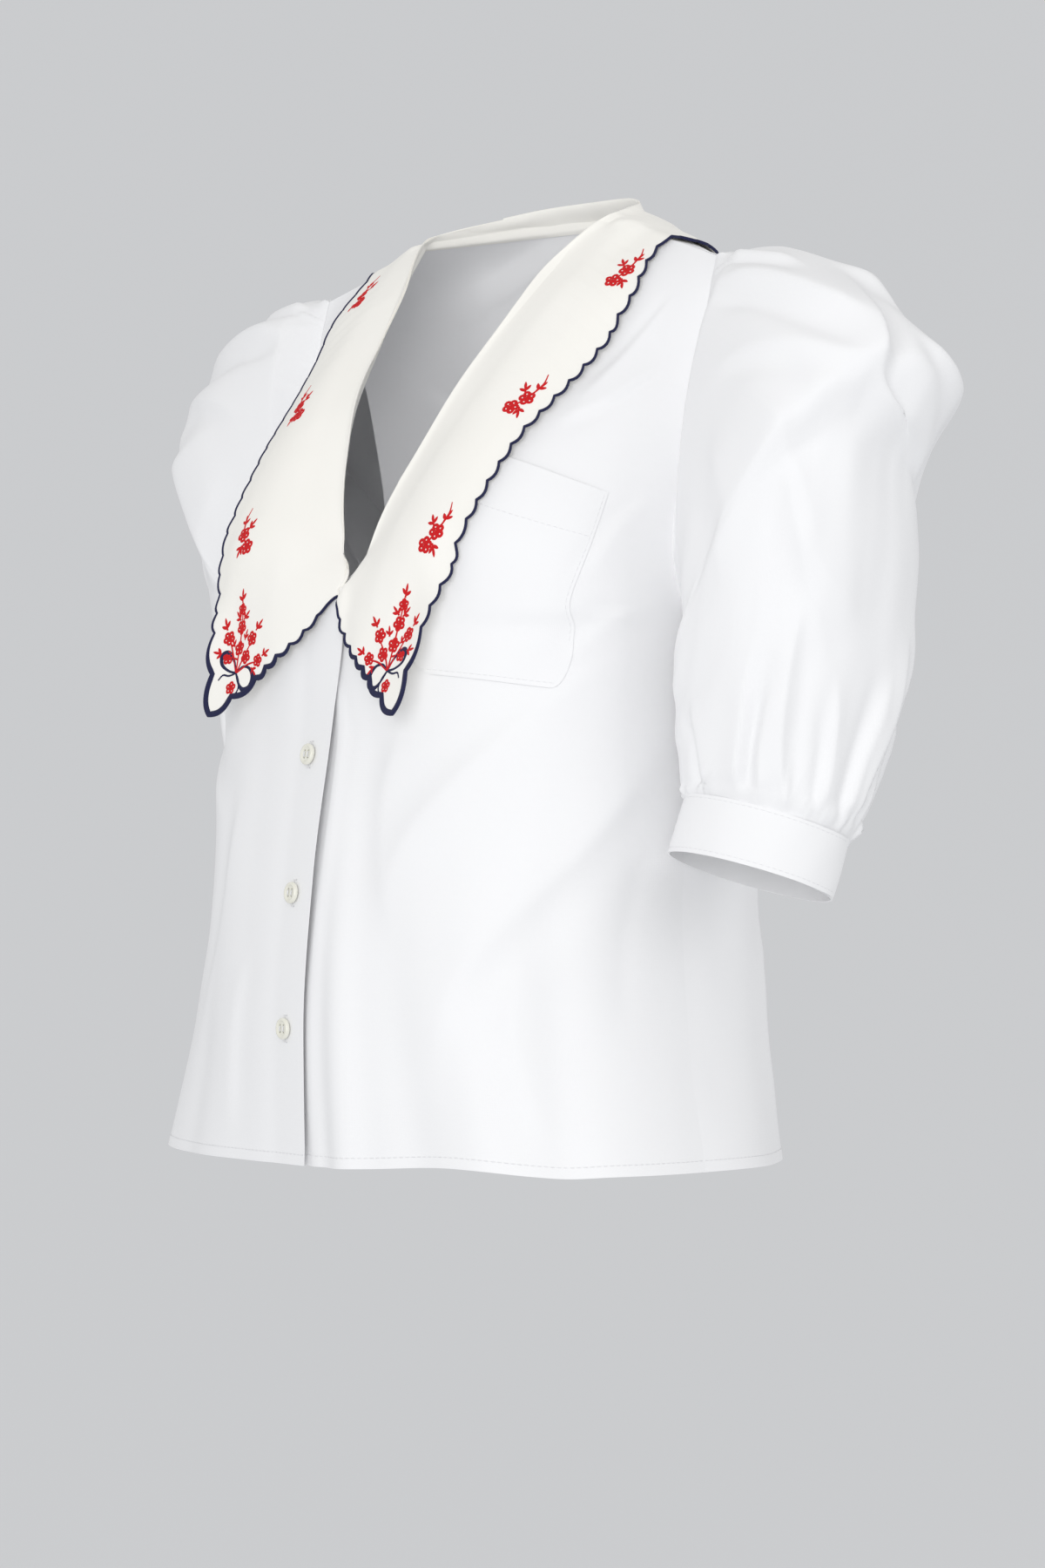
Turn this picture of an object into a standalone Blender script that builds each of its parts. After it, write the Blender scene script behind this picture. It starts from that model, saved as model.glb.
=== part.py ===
# Cotton shirt with a large pointed collar, puffed sleeves and a front button closure.
# It keeps the hollow form that it has when worn. The tables are in millimetres.
# +Z is up, the front faces -Y, and the origin is in the neck, level with the shoulder seams.

import math

import bmesh
import bpy
from mathutils import Matrix, Vector
from mathutils.bvhtree import BVHTree

MM = 0.001
WALL = 1.2  # cloth wall
GAP = 0.35  # clearance at every seam
LAP = 2.2  # how far the upper front stands off the lower one
LAP_EDGE = 5.0  # and how much more at its free edge
SLEEVE_GATHERS = 26  # all round the cuff seam
HEAD_GATHERS = 22  # all round the armhole, on its upper half only
SCALLOPS = 80  # along the outer edge of the collar
SCALLOP_DEPTH = 2.6
TIP_SCALLOP_DEPTH = 4.0
COLLAR_CLEARANCE = 5.3
HEM_WAVE = 4.0  # the left front's hem rises by this much in one place
FRONT_EDGE_SAG = 9.0  # the collar's front edges curve down by this much
BUTTON_DIAMETER = 12.0
BUTTON_THICKNESS = 2.6
BUTTON_HOLE = 1.7
BUTTON_HOLE_PITCH = 3.4
BUTTON_HEIGHTS = (-305.0, -381.0, -455.0)
CUFF_DEPTH = 31.5
CUFF_RADIUS = 45.5
CUFF_LAP_DEGREES = 22.0
CUFF_LAP_END = -28.0  # where its free end lies, from the outside of the arm towards the back

CLOTH_COLOUR = (0.9, 0.9, 0.92)
COLLAR_COLOUR = (0.88, 0.87, 0.8)
BUTTON_COLOUR = (0.85, 0.85, 0.74)

# Half of the front, from the shoulder seam down to the hem. Each row is one section:
# it runs from its inner end, on the neckline or the front edge, past two guide points
# to its outer end, on the armhole or the side seam.
FRONT_ROWS = (
    # in_x, in_y, in_z, guide_1_x, guide_1_y, guide_2_x, guide_2_y, out_x, out_y, out_z
    (80, 1, -7, 107, 1, 135, 0, 163, -2, -32),
    (66, -28, -34, 98, -34, 134, -26, 163, -9, -58),
    (54, -58, -72, 88, -68, 134, -42, 161, -14, -86),
    (45, -84, -110, 84, -100, 134, -72, 159, -19, -114),
    (33, -103, -148, 84, -130, 140, -104, 156, -25, -148),
    (18, -120, -188, 78, -156, 150, -132, 152, -27, -188),
    (-12, -136, -226, 34, -144, 156, -168, 150, -16, -224),
    (-12, -141, -250, 40, -151, 158, -164, 149, 6, -238),
    (-12, -149, -300, 80, -157, 152, -142, 147, -8, -300),
    (-12, -161, -372, 80, -167, 153, -142, 147, -14, -372),
    (-12, -168, -455, 85, -176, 165, -142, 159, -22, -455),
    (-12, -167, -529, 92, -178, 190, -149, 180, -30, -531),
)

# Half of the back, the same way. The first rows fan out from the back of the neckline.
BACK_ROWS = (
    # in_x, in_y, in_z, guide_1_x, guide_1_y, guide_2_x, guide_2_y, out_x, out_y, out_z
    (80, 1, -7, 107, 2, 135, 1, 163, -2, -32),
    (66, 36, -1, 98, 38, 134, 28, 164, 10, -40),
    (36, 57, 3, 80, 64, 130, 46, 164, 18, -56),
    (0, 63, 4, 50, 68, 122, 70, 163, 24, -76),
    (0, 82, -50, 55, 84, 130, 86, 161, 31, -108),
    (0, 93, -100, 60, 95, 138, 95, 157, 36, -150),
    (0, 98, -150, 65, 100, 144, 102, 154, 37, -185),
    (0, 99, -200, 70, 101, 150, 108, 151, 26, -220),
    (0, 98, -245, 72, 100, 152, 110, 149, 6, -238),
    (0, 96, -300, 76, 98, 150, 104, 147, -8, -300),
    (0, 94, -372, 80, 96, 150, 100, 147, -14, -372),
    (0, 96, -455, 85, 98, 162, 98, 159, -22, -455),
    (0, 98, -531, 90, 100, 184, 92, 180, -30, -531),
)

# Large soft folds: where each begins and ends, across (0 to 1) and down (table row).
LEFT_FOLDS = (
    # across_top, row_top, across_end, row_end, width, height
    (0.16, 7.5, 0.195, 11.0, 0.042, 7.0),
    (0.30, 8.5, 0.36, 11.0, 0.060, -4.0),
    (0.55, 8.0, 0.52, 11.0, 0.070, 4.0),
    (0.74, 7.5, 0.70, 11.0, 0.060, -4.0),
)
RIGHT_FOLDS = (
    # across_top, row_top, across_end, row_end, width, height
    (0.36, 7.0, 0.42, 11.0, 0.070, -3.0),
    (0.60, 8.5, 0.62, 11.0, 0.080, 4.0),
    (0.80, 7.5, 0.78, 11.0, 0.060, -3.0),
)
BACK_FOLDS = (
    # across_top, row_top, across_end, row_end, width, height
    (0.14, 8.0, 0.16, 12.0, 0.060, 5.0),
    (0.40, 7.0, 0.42, 12.0, 0.070, -5.0),
    (0.62, 6.0, 0.66, 12.0, 0.070, 5.0),
    (0.84, 8.0, 0.86, 12.0, 0.060, -4.0),
)

# Sections of the left half of the collar, from the centre of the back to its point.
# neck is the table row of the seam, negative on the back.
COLLAR_ROWS = (
    # neck, roll_x, roll_y, roll_z, edge_x, edge_y, edge_z
    (-3.0, 0, 58, 17, 0, 94, -68),
    (-2.1, 34, 54, 16, 48, 88, -62),
    (-1.1, 62, 36, 10, 92, 66, -44),
    (-0.35, 74, 12, 3, 118, 34, -24),
    (0.2, 74, -6, -4, 121, 0, -27),
    (0.8, 66, -22, -18, 123, -24, -50),
    (1.4, 56, -38, -37, 122, -48, -80),
    (2.1, 49, -62, -68, 115, -76, -108),
    (2.8, 42, -86, -100, 107, -99, -134),
    (3.8, 30, -104, -136, 101, -121, -168),
    (4.7, 17, -119, -170, 96, -138, -202),
    (5.2, 9, -127, -196, 88, -152, -234),
    (5.35, 3.5, -138, -211, 78, -165, -284),
)

# Rings of the left sleeve below the armhole. turn tips the ring from upright to level,
# tilt lowers its back.
SLEEVE_ROWS = (
    # turn, tilt, x, y, z, top, bottom, front, back
    (7.7, 0, 172, 5, -136, 107, 107, 44, 50),
    (16.4, 0, 191, 8, -145, 110, 110, 56, 66),
    (27.6, 0, 211, 10, -161, 111, 111, 67, 80),
    (37.6, 0, 225, 11, -181, 109, 109, 71, 86),
    (40.0, 0, 224, 10, -196, 102, 100, 68, 73),
    (39.0, 0, 212, 8, -212, 88, 85, 64, 66),
    (49.0, 0, 210, 4, -240, 76, 73, 62, 69),
    (58.0, 2, 209, 1, -268, 66, 62, 59, 68),
    (69.0, 6, 209, -2, -294, 57, 54, 55, 65),
    (81.0, 12, 208, -5, -321, 49, 49, 51, 55),
    (96.0, 17, 207, -9, -341, 45, 45, 45, 45),
)
# The right sleeve hangs a little further back: how far its cuff is moved.
RIGHT_CUFF_SHIFT = (-6.0, 25.0, 0.0)
SLEEVE_FULLNESS = 2.25  # 2 would make every ring an ellipse

# Corners of the pocket on the left front: across (0 to 1) and down (table row).
POCKET_CORNERS = (
    # across, row
    (0.38, 3.80),
    (0.82, 4.40),
    (0.75, 7.58),
    (0.38, 7.36),
)
POCKET_CORNER_ROUND = 0.13


def clearScene():
    for item in list(bpy.data.objects):
        bpy.data.objects.remove(item, do_unlink=True)


def makeMaterial(name, colour, roughness):
    made = bpy.data.materials.new(name)
    made.use_nodes = True
    shader = made.node_tree.nodes["Principled BSDF"]
    shader.inputs["Base Color"].default_value = (*colour, 1.0)
    shader.inputs["Roughness"].default_value = roughness
    shader.inputs["Metallic"].default_value = 0.0
    made.diffuse_color = (*colour, 1.0)
    return made


def smoothStep(value):
    value = min(max(value, 0.0), 1.0)
    return value * value * (3.0 - 2.0 * value)


def steadySlope(before, after):
    """Slope at a table row that never overshoots its neighbours."""
    if before * after <= 0.0:
        return 0.0
    return 2.0 * before * after / (before + after)


def rowAt(rows, place):
    """The numbers of a table at a place between two of its rows."""
    last = len(rows) - 1
    place = min(max(place, 0.0), float(last))
    low = min(int(place), last - 1)
    part = place - low
    before = rows[max(low - 1, 0)]
    start = rows[low]
    end = rows[low + 1]
    after = rows[min(low + 2, last)]
    found = []
    for a, b, c, d in zip(before, start, end, after):
        rise = c - b
        slope_b = steadySlope(b - a, rise) if low > 0 else rise
        slope_c = steadySlope(rise, d - c) if low + 2 <= last else rise
        t2 = part * part
        t3 = t2 * part
        value = (2 * t3 - 3 * t2 + 1) * b + (t3 - 2 * t2 + part) * slope_b
        value += (3 * t2 - 2 * t3) * c + (t3 - t2) * slope_c
        found.append(value)
    return found


def bezier(a, b, c, d, t):
    s = 1.0 - t
    return a * (s * s * s) + b * (3 * s * s * t) + c * (3 * s * t * t) + d * (t * t * t)


def plainPoint(rows, across, place):
    values = rowAt(rows, place)
    start = Vector(values[0:3])
    end = Vector(values[7:10])
    first = Vector((values[3], values[4], start.z + (end.z - start.z) / 3.0))
    second = Vector((values[5], values[6], start.z + (end.z - start.z) * 2.0 / 3.0))
    return bezier(start, first, second, end, across)


def outward(rows, across, place, facing):
    """Unit normal of a half panel. facing is -1 on the front and 1 on the back."""
    step = 0.01
    low = max(across - step, 0.0)
    high = min(across + step, 1.0)
    up = max(place - step, 0.0)
    down = min(place + step, len(rows) - 1.0)
    along = plainPoint(rows, high, place) - plainPoint(rows, low, place)
    fall = plainPoint(rows, across, down) - plainPoint(rows, across, up)
    return (along.cross(fall) * facing).normalized()


def foldHeight(folds, across, place):
    total = 0.0
    for across_top, row_top, across_end, row_end, width, height in folds:
        part = (place - row_top) / (row_end - row_top)
        if part <= 0.0:
            continue
        centre = across_top + (across_end - across_top) * part
        shape = math.exp(-(((across - centre) / width) ** 2))
        total += height * shape * smoothStep(part)
    return total


def frontPoint(across, place, side):
    """A point of a front. side is 1 on the wearer's left and -1 on the right."""
    point = plainPoint(FRONT_ROWS, across, place)
    normal = outward(FRONT_ROWS, across, place, -1)
    folds = LEFT_FOLDS if side > 0 else RIGHT_FOLDS
    lift = foldHeight(folds, across, place)
    if side < 0:
        lap = LAP * smoothStep((50.0 - point.x) / 32.0)
        lap += LAP_EDGE * min(max((14.0 - point.x) / 26.0, 0.0), 1.0)
        lift += lap * smoothStep((place - 3.6) / 2.4)
    point += normal * lift
    if side > 0:
        point.z += HEM_WAVE * math.exp(-(((across - 0.42) / 0.15) ** 2)) * smoothStep(place - 10.0)
    return Vector((point.x * side, point.y, point.z))


def backPoint(across, place, side):
    point = plainPoint(BACK_ROWS, across, place)
    normal = outward(BACK_ROWS, across, place, 1)
    lift = foldHeight(BACK_FOLDS, 0.5 + 0.5 * across * side, place)
    lift *= smoothStep(across * 20.0) if place < 3.5 else 1.0
    if across <= 0.0 and place >= 3.0:
        normal.x = 0.0
    point += normal * lift
    return Vector((point.x * side, point.y, point.z))


def seamTrim(value, low, high):
    """Pulls a place on a panel in from its two edges."""
    return low + value * (high - low)


def gridMesh(name, columns, rows, place, flip=False, closed=False):
    """A grid of quads whose points are placed by a function of two numbers, 0 to 1."""
    shape = bmesh.new()
    bmesh.ops.create_grid(shape, x_segments=columns, y_segments=rows, size=0.5)
    for vertex in shape.verts:
        vertex.co = place(vertex.co.x + 0.5, vertex.co.y + 0.5) * MM
    if closed:
        bmesh.ops.remove_doubles(shape, verts=shape.verts, dist=0.00002)
    if flip:
        bmesh.ops.reverse_faces(shape, faces=shape.faces)
    return shape


def clothObject(name, shape, material, collection):
    """Turns an open surface into a cloth piece whose wall lies on the outside of it."""
    mesh = bpy.data.meshes.new(name)
    shape.to_mesh(mesh)
    shape.free()
    mesh.shade_smooth()
    mesh.materials.append(material)
    piece = bpy.data.objects.new(name, mesh)
    collection.objects.link(piece)
    wall = piece.modifiers.new("Wall", "SOLIDIFY")
    wall.thickness = WALL * MM
    wall.offset = 1.0
    wall.use_even_offset = False
    return piece


def makeFront(name, side, material, collection):
    last = len(FRONT_ROWS) - 1.0

    def place(u, v):
        across = seamTrim(u, 0.0, 0.9965)
        return frontPoint(across, seamTrim(1.0 - v, 0.012 * last / 11.0, last), side)

    shape = gridMesh(name, 12, 18, place, flip=side < 0)
    return clothObject(name, shape, material, collection)


def makeBack(material, collection):
    """The two halves share the centre line, and part beside the neckline."""
    last = len(BACK_ROWS) - 1.0
    shape = bmesh.new()
    for side in (1.0, -1.0):

        def place(u, v):
            across = seamTrim(u, 0.0, 0.9965)
            return backPoint(across, seamTrim(1.0 - v, 0.012, last), side)

        half = gridMesh("half", 9, 20, place, flip=side > 0)
        held = bpy.data.meshes.new("half")
        half.to_mesh(held)
        half.free()
        shape.from_mesh(held)
        bpy.data.meshes.remove(held)
    middle = [v for v in shape.verts if abs(v.co.x) < 1e-6]
    bmesh.ops.remove_doubles(shape, verts=middle, dist=0.00002)
    return clothObject("back", shape, material, collection)


def surfaceTree(pieces):
    """A search tree over the inner faces of some pieces."""
    points = []
    faces = []
    for piece in pieces:
        start = len(points)
        points += [v.co / MM for v in piece.data.vertices]
        faces += [[start + i for i in face.vertices] for face in piece.data.polygons]
    return BVHTree.FromPolygons(points, faces)


def pushOut(tree, point, clearance):
    """Moves a point out until it stands this far off the panels."""
    for _ in range(3):
        near, normal, _, _ = tree.find_nearest(point)
        height = (point - near).dot(normal)
        beside = (point - near - normal * height).length
        if height >= clearance - 0.01 or beside > 2.0:
            return point
        point = near + normal * clearance
    return point


def makePocket(tree, material, collection):
    """The pocket is made from the left front's own points, moved out."""
    top_in, top_out, low_out, low_in = [Vector(corner) for corner in POCKET_CORNERS]

    def place(u, v):
        # Both lower corners are rounded by drawing the last rows together.
        down = 1.0 - v
        drop = max(0.0, down - (1.0 - POCKET_CORNER_ROUND)) / POCKET_CORNER_ROUND
        inset = POCKET_CORNER_ROUND * (1.0 - math.sqrt(max(0.0, 1.0 - drop * drop)))
        across = inset + u * (1.0 - 2.0 * inset)
        upper = top_in.lerp(top_out, across)
        lower = low_in.lerp(low_out, across)
        where = upper.lerp(lower, down)
        point = frontPoint(where.x, where.y, 1)
        return pushOut(tree, point, WALL + 1.25)

    def rowPlace(u, v):
        # The last three rows lie close together, where the corners turn.
        steps = (0.0, 0.02, 0.055, POCKET_CORNER_ROUND)
        count = 12
        index = round(v * count)
        if index < len(steps):
            return place(u, steps[index])
        rest = (index - len(steps) + 1) / (count - len(steps) + 1)
        return place(u, POCKET_CORNER_ROUND + rest * (1.0 - POCKET_CORNER_ROUND))

    shape = gridMesh("pocket", 12, 12, rowPlace)
    return clothObject("pocket", shape, material, collection)


def armholePoint(turn):
    """The armhole of the left side: turn 0 is its top, 0.25 its front, 0.5 its bottom."""
    bottom_front = 7.0
    bottom_back = 8.0
    turn = turn % 1.0
    if turn <= 0.5:
        rows, facing, row = FRONT_ROWS, -1, armholeRow(turn * 2.0, FRONT_ROWS, bottom_front)
    else:
        rows, facing, row = BACK_ROWS, 1, armholeRow((1.0 - turn) * 2.0, BACK_ROWS, bottom_back)
    return plainPoint(rows, 1.0, row), outward(rows, 1.0, row, facing)


def armholeRow(part, rows, bottom):
    """The table row at this part of the way down one side of the armhole, by height."""
    top_z = rows[0][9]
    low_z = rows[int(bottom)][9]
    wanted = top_z + (low_z - top_z) * (0.5 - 0.5 * math.cos(math.pi * part))
    low, high = 0.0, bottom
    for _ in range(40):
        middle = 0.5 * (low + high)
        if rowAt(rows, middle)[9] > wanted:
            low = middle
        else:
            high = middle
    return 0.5 * (low + high)


def ringPoint(values, turn):
    """A point of a sleeve ring. turn 0 is its top or outer side, 0.25 its front."""
    lean, tilt, x, y, z, top, bottom, front, back = values
    lean = math.radians(lean)
    tilt = math.radians(tilt)
    angle = 2.0 * math.pi * turn
    up = Vector((math.sin(lean), 0.0, math.cos(lean)))
    forward = Vector((0.0, -math.cos(tilt), math.sin(tilt)))
    power = 2.0 / SLEEVE_FULLNESS
    rise = math.copysign(abs(math.cos(angle)) ** power, math.cos(angle))
    reach = math.copysign(abs(math.sin(angle)) ** power, math.sin(angle))
    point = Vector((x, y, z))
    point += up * rise * (top if rise > 0.0 else bottom)
    point += forward * reach * (front if reach > 0.0 else back)
    return point


def sleevePoint(turn, down):
    """A point of the left sleeve: down 0 is the armhole, 1 the cuff seam."""
    place = down * len(SLEEVE_ROWS)
    start, normal = armholePoint(turn)
    start = start + normal * (WALL + GAP + 0.5)
    start.x += 0.5
    if place < 1.0:
        first = ringPoint(rowAt(SLEEVE_ROWS, 0.0), turn)
        point = start.lerp(first, place)
    else:
        point = ringPoint(rowAt(SLEEVE_ROWS, place - 1.0), turn)
    middle = ringPoint([*rowAt(SLEEVE_ROWS, place - 1.0)[:5], 1e-6, 1e-6, 1e-6, 1e-6], turn)
    out = (point - middle).normalized()
    upper = smoothStep((math.cos(2.0 * math.pi * turn) + 0.35) / 0.9)
    head = 2.6 * upper * smoothStep(place / 0.8) * (1.0 - smoothStep((place - 1.2) / 3.2))
    cuff = 2.4 * smoothStep((place - 6.0) / 3.4) * (1.0 - smoothStep((place - 10.1) / 0.9))
    wave = head * math.cos(2.0 * math.pi * HEAD_GATHERS * turn)
    wave += cuff * math.cos(2.0 * math.pi * SLEEVE_GATHERS * turn)
    return point + out * wave


def makeSleeve(name, side, material, collection):
    def place(u, v):
        point = sleevePoint(u, 1.0 - v)
        if side < 0:
            point += Vector(RIGHT_CUFF_SHIFT) * smoothStep(1.15 * (1.0 - v) - 0.05)
        return Vector((point.x * side, point.y, point.z))

    shape = gridMesh(name, SLEEVE_GATHERS * 2, 15, place, flip=side > 0, closed=True)
    return clothObject(name, shape, material, collection)


def makeCuff(name, side, material, collection):
    """A straight band round the arm, whose outer end laps over the inner one."""
    top = list(SLEEVE_ROWS[-1])
    lean = math.radians(top[0])
    tilt = math.radians(top[1])
    up = Vector((math.sin(lean), 0.0, math.cos(lean)))
    forward = Vector((0.0, -math.cos(tilt), math.sin(tilt)))
    axis = up.cross(forward).normalized()
    if axis.z > 0.0:
        axis = -axis
    centre = Vector(top[2:5]) + axis * (GAP + 0.2)
    start = math.radians(CUFF_LAP_END)
    sweep = math.radians(360.0 + CUFF_LAP_DEGREES)

    def place(u, v):
        angle = start + sweep * (1.0 - u)
        radius = CUFF_RADIUS - 2.0 + (WALL + GAP + 0.35) * smoothStep(u * 2.4 - 0.7)
        point = centre + up * math.cos(angle) * radius + forward * math.sin(angle) * radius
        point += axis * CUFF_DEPTH * (1.0 - v)
        if side < 0:
            point += Vector(RIGHT_CUFF_SHIFT)
        return Vector((point.x * side, point.y, point.z))

    shape = gridMesh(name, 40, 2, place, flip=side < 0)
    return clothObject(name, shape, material, collection)


def collarSection(part):
    """The collar's table at a place between two rows, smooth across the centre back."""
    last = len(COLLAR_ROWS) - 1
    low = min(int(part), last - 1)
    t = part - low
    first = COLLAR_ROWS[1]
    if low > 0:
        before = COLLAR_ROWS[low - 1]
    else:
        before = (-2.0 * 3.0 - first[0], -first[1], first[2], first[3], -first[4], *first[5:])
    start = COLLAR_ROWS[low]
    end = COLLAR_ROWS[low + 1]
    if low + 2 <= last:
        after = COLLAR_ROWS[low + 2]
    else:
        after = [2.0 * c - b for b, c in zip(start, end)]
    found = []
    for a, b, c, d in zip(before, start, end, after):
        value = 2.0 * b + (c - a) * t + (2.0 * a - 5.0 * b + 4.0 * c - d) * t * t
        value += (3.0 * b - a - 3.0 * c + d) * t * t * t
        found.append(0.5 * value)
    return found


def evenCollarPlaces(count):
    """Places along the half collar that cut its outer edge into equal scallops."""
    fine = 600
    last = len(COLLAR_ROWS) - 1
    lengths = [0.0]
    point = Vector(collarSection(0.0)[4:7])
    for i in range(1, fine + 1):
        following = Vector(collarSection(last * i / fine)[4:7])
        lengths.append(lengths[-1] + (following - point).length)
        point = following
    places = []
    i = 0
    for k in range(count + 1):
        wanted = lengths[-1] * k / count
        while i < fine and lengths[i + 1] < wanted:
            i += 1
        span = lengths[min(i + 1, fine)] - lengths[i]
        part = (wanted - lengths[i]) / span if span > 0.0 else 0.0
        places.append(last * min(1.0, (i + min(part, 1.0)) / fine))
    return places


def collarPoint(tree, part, row, side):
    """A point of the collar. Rows 0 to 2 are the stand, 3 the roll, 4 to 8 the fall."""
    values = collarSection(part)
    neck = values[0]
    rows, facing = (FRONT_ROWS, -1) if neck >= 0.0 else (BACK_ROWS, 1)
    plain = plainPoint(rows, 0.0, abs(neck))
    normal = outward(rows, 0.0, abs(neck), facing)
    seam = frontPoint(0.0, neck, side) if neck >= 0.0 else backPoint(0.0, -neck, side)
    seam.x *= side
    roll = Vector(values[1:4]) + (seam - plain)
    edge = Vector(values[4:7]) + (seam - plain) * 0.5
    lift = 0.8 if neck < 0.0 else 0.3 + 0.8 * smoothStep(neck - 3.5)
    if side < 0.0:
        lift += 1.4 * smoothStep((neck - 3.8) / 0.7)
    seam = seam + normal * (WALL + GAP + lift)
    across = (edge - roll).normalized()
    shoulder = roll + across * 4.5 - normal * 1.0
    if row == 0:
        point = seam
    elif row == 1:
        point = seam.lerp(roll, 0.5) - across * 1.2
    elif row == 2:
        point = roll
    else:
        fall = (row - 3) / 5.0
        belly = math.sin(math.pi * min(fall * 1.1, 1.0)) * 3.0
        point = shoulder.lerp(edge, fall) + normal * belly
        sag = FRONT_EDGE_SAG * smoothStep(part - len(COLLAR_ROWS) + 2.6)
        point.z -= sag * math.sin(math.pi * fall ** 0.8)
    if side < 0.0:
        point = Vector((-point.x, point.y, point.z))
    fall = max(0.0, (row - 3) / 5.0)
    if row <= 2:
        return pushOut(tree, point, WALL + GAP + lift)
    # It stands higher where it bends over the shoulder seam, on the back and at its front edge.
    extra = 1.6 * math.exp(-((neck / 0.7) ** 2))
    extra += 2.0 * smoothStep(-neck) * (1.0 - smoothStep(fall * 2.0))
    extra += 2.4 * smoothStep(part - len(COLLAR_ROWS) + 2.5)
    if side < 0.0:
        extra += 2.0 * smoothStep(neck - 4.0)
    ramp = (COLLAR_CLEARANCE - 2.0) * smoothStep(fall * 2.0)
    return pushOut(tree, point, WALL + 2.0 + ramp + extra)


def makeCollar(tree, material, collection):
    half = SCALLOPS // 2
    places = evenCollarPlaces(half)
    rows = 8

    def place(u, v):
        index = round(u * SCALLOPS) - half
        side = 1.0 if index >= 0 else -1.0
        return collarPoint(tree, places[abs(index)], round((1.0 - v) * rows), side)

    shape = gridMesh("collar", SCALLOPS, rows, place)
    scallopEdge(shape)
    return clothObject("collar", shape, material, collection)


def scallopEdge(shape):
    """Rounds each edge segment of the fall outwards into a scallop."""
    shape.verts.ensure_lookup_table()
    seam_points = set()
    for edge in shape.edges:
        if edge.is_boundary:
            seam_points.update(edge.verts)
    columns = SCALLOPS + 1
    rows = 9
    grid = list(shape.verts)[: columns * rows]
    lower = grid[:columns]
    fronts = [[grid[r * columns] for r in range(6)], [grid[r * columns + SCALLOPS] for r in range(6)]]
    runs = [(a, b) for a, b in zip(lower, lower[1:])]
    for front in fronts:
        runs += [(a, b) for a, b in zip(front, front[1:])]
    for first, last in runs:
        edge = shape.edges.get((first, last))
        face = edge.link_faces[0]
        start = first.co.copy()
        end = last.co.copy()
        along = end - start
        out = edgeOut(face, start, end)
        low = min(start.z, end.z) / MM
        depth = TIP_SCALLOP_DEPTH if low < -262.0 else SCALLOP_DEPTH
        current = edge
        corner = first
        cuts = 3
        for k in range(1, cuts + 1):
            remaining = (last.co - corner.co).length
            wanted = along.length / (cuts + 1)
            current, made = bmesh.utils.edge_split(current, corner, wanted / remaining)
            corner = made
            current = shape.edges.get((corner, last))
        for k, made in enumerate(chain(shape, first, last, cuts), start=1):
            t = k / (cuts + 1)
            made.co = start + along * t + out * (4.0 * t * (1.0 - t)) * depth * MM


def chain(shape, first, last, count):
    """The points that edge_split put between two corners, in order."""
    found = []
    before = None
    here = first
    for _ in range(count):
        for edge in here.link_edges:
            other = edge.other_vert(here)
            if other is before or len(other.link_edges) != 2:
                continue
            if (other.co - first.co).cross(last.co - first.co).length > 1e-9:
                continue
            if (other.co - first.co).dot(last.co - first.co) <= 0.0:
                continue
            if other in found:
                continue
            found.append(other)
            before, here = here, other
            break
    return found


def edgeOut(face, start, end):
    """Direction in the face's plane that points away from it across one edge."""
    middle = (start + end) * 0.5
    centre = face.calc_center_median()
    along = (end - start).normalized()
    away = middle - centre
    away -= along * away.dot(along)
    return away.normalized()


def buttonProfile():
    """Half section of a dished button, from the middle of its back to its face."""
    radius = BUTTON_DIAMETER / 2.0
    return (
        (0.0, 0.0),
        (radius - 0.8, 0.0),
        (radius, 0.9),
        (radius, 1.8),
        (radius - 0.7, BUTTON_THICKNESS),
        (radius - 1.6, BUTTON_THICKNESS),
        (radius - 2.4, BUTTON_THICKNESS - 0.6),
        (0.0, BUTTON_THICKNESS - 0.6),
    )


def makeButton(name, where, facing, material, collection, cutters):
    profile = bmesh.new()
    points = [profile.verts.new(Vector((x, 0.0, z)) * MM) for x, z in buttonProfile()]
    for first, second in zip(points, points[1:]):
        profile.edges.new((first, second))
    spun = bmesh.ops.spin(
        profile,
        geom=list(profile.verts) + list(profile.edges),
        cent=(0, 0, 0),
        axis=(0, 0, 1),
        angle=2.0 * math.pi,
        steps=20,
        use_merge=True,
    )
    bmesh.ops.remove_doubles(profile, verts=profile.verts, dist=0.00001)
    bmesh.ops.recalc_face_normals(profile, faces=profile.faces)
    mesh = bpy.data.meshes.new(name)
    profile.to_mesh(mesh)
    profile.free()
    mesh.materials.append(material)
    mesh.shade_smooth()
    mesh.set_sharp_from_angle(angle=math.radians(35.0))
    button = bpy.data.objects.new(name, mesh)
    collection.objects.link(button)
    turn = facing.to_track_quat("Z", "X")
    button.matrix_world = Matrix.Translation(where * MM) @ turn.to_matrix().to_4x4()
    holes = bmesh.new()
    for x in (-0.5, 0.5):
        for y in (-0.5, 0.5):
            spot = Vector((x * BUTTON_HOLE_PITCH, y * BUTTON_HOLE_PITCH, 1.3)) * MM
            bmesh.ops.create_cone(
                holes,
                cap_ends=True,
                segments=8,
                radius1=BUTTON_HOLE * 0.5 * MM,
                radius2=BUTTON_HOLE * 0.5 * MM,
                depth=6.0 * MM,
                matrix=Matrix.Translation(spot),
            )
    held = bpy.data.meshes.new(name + "_holes")
    holes.to_mesh(held)
    holes.free()
    cutter = bpy.data.objects.new(name + "_holes", held)
    cutters.objects.link(cutter)
    cutter.matrix_world = button.matrix_world.copy()
    cutter.hide_render = True
    cutter.display_type = "WIRE"
    cut = button.modifiers.new("Holes", "BOOLEAN")
    cut.operation = "DIFFERENCE"
    cut.object = cutter
    return button


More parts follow.
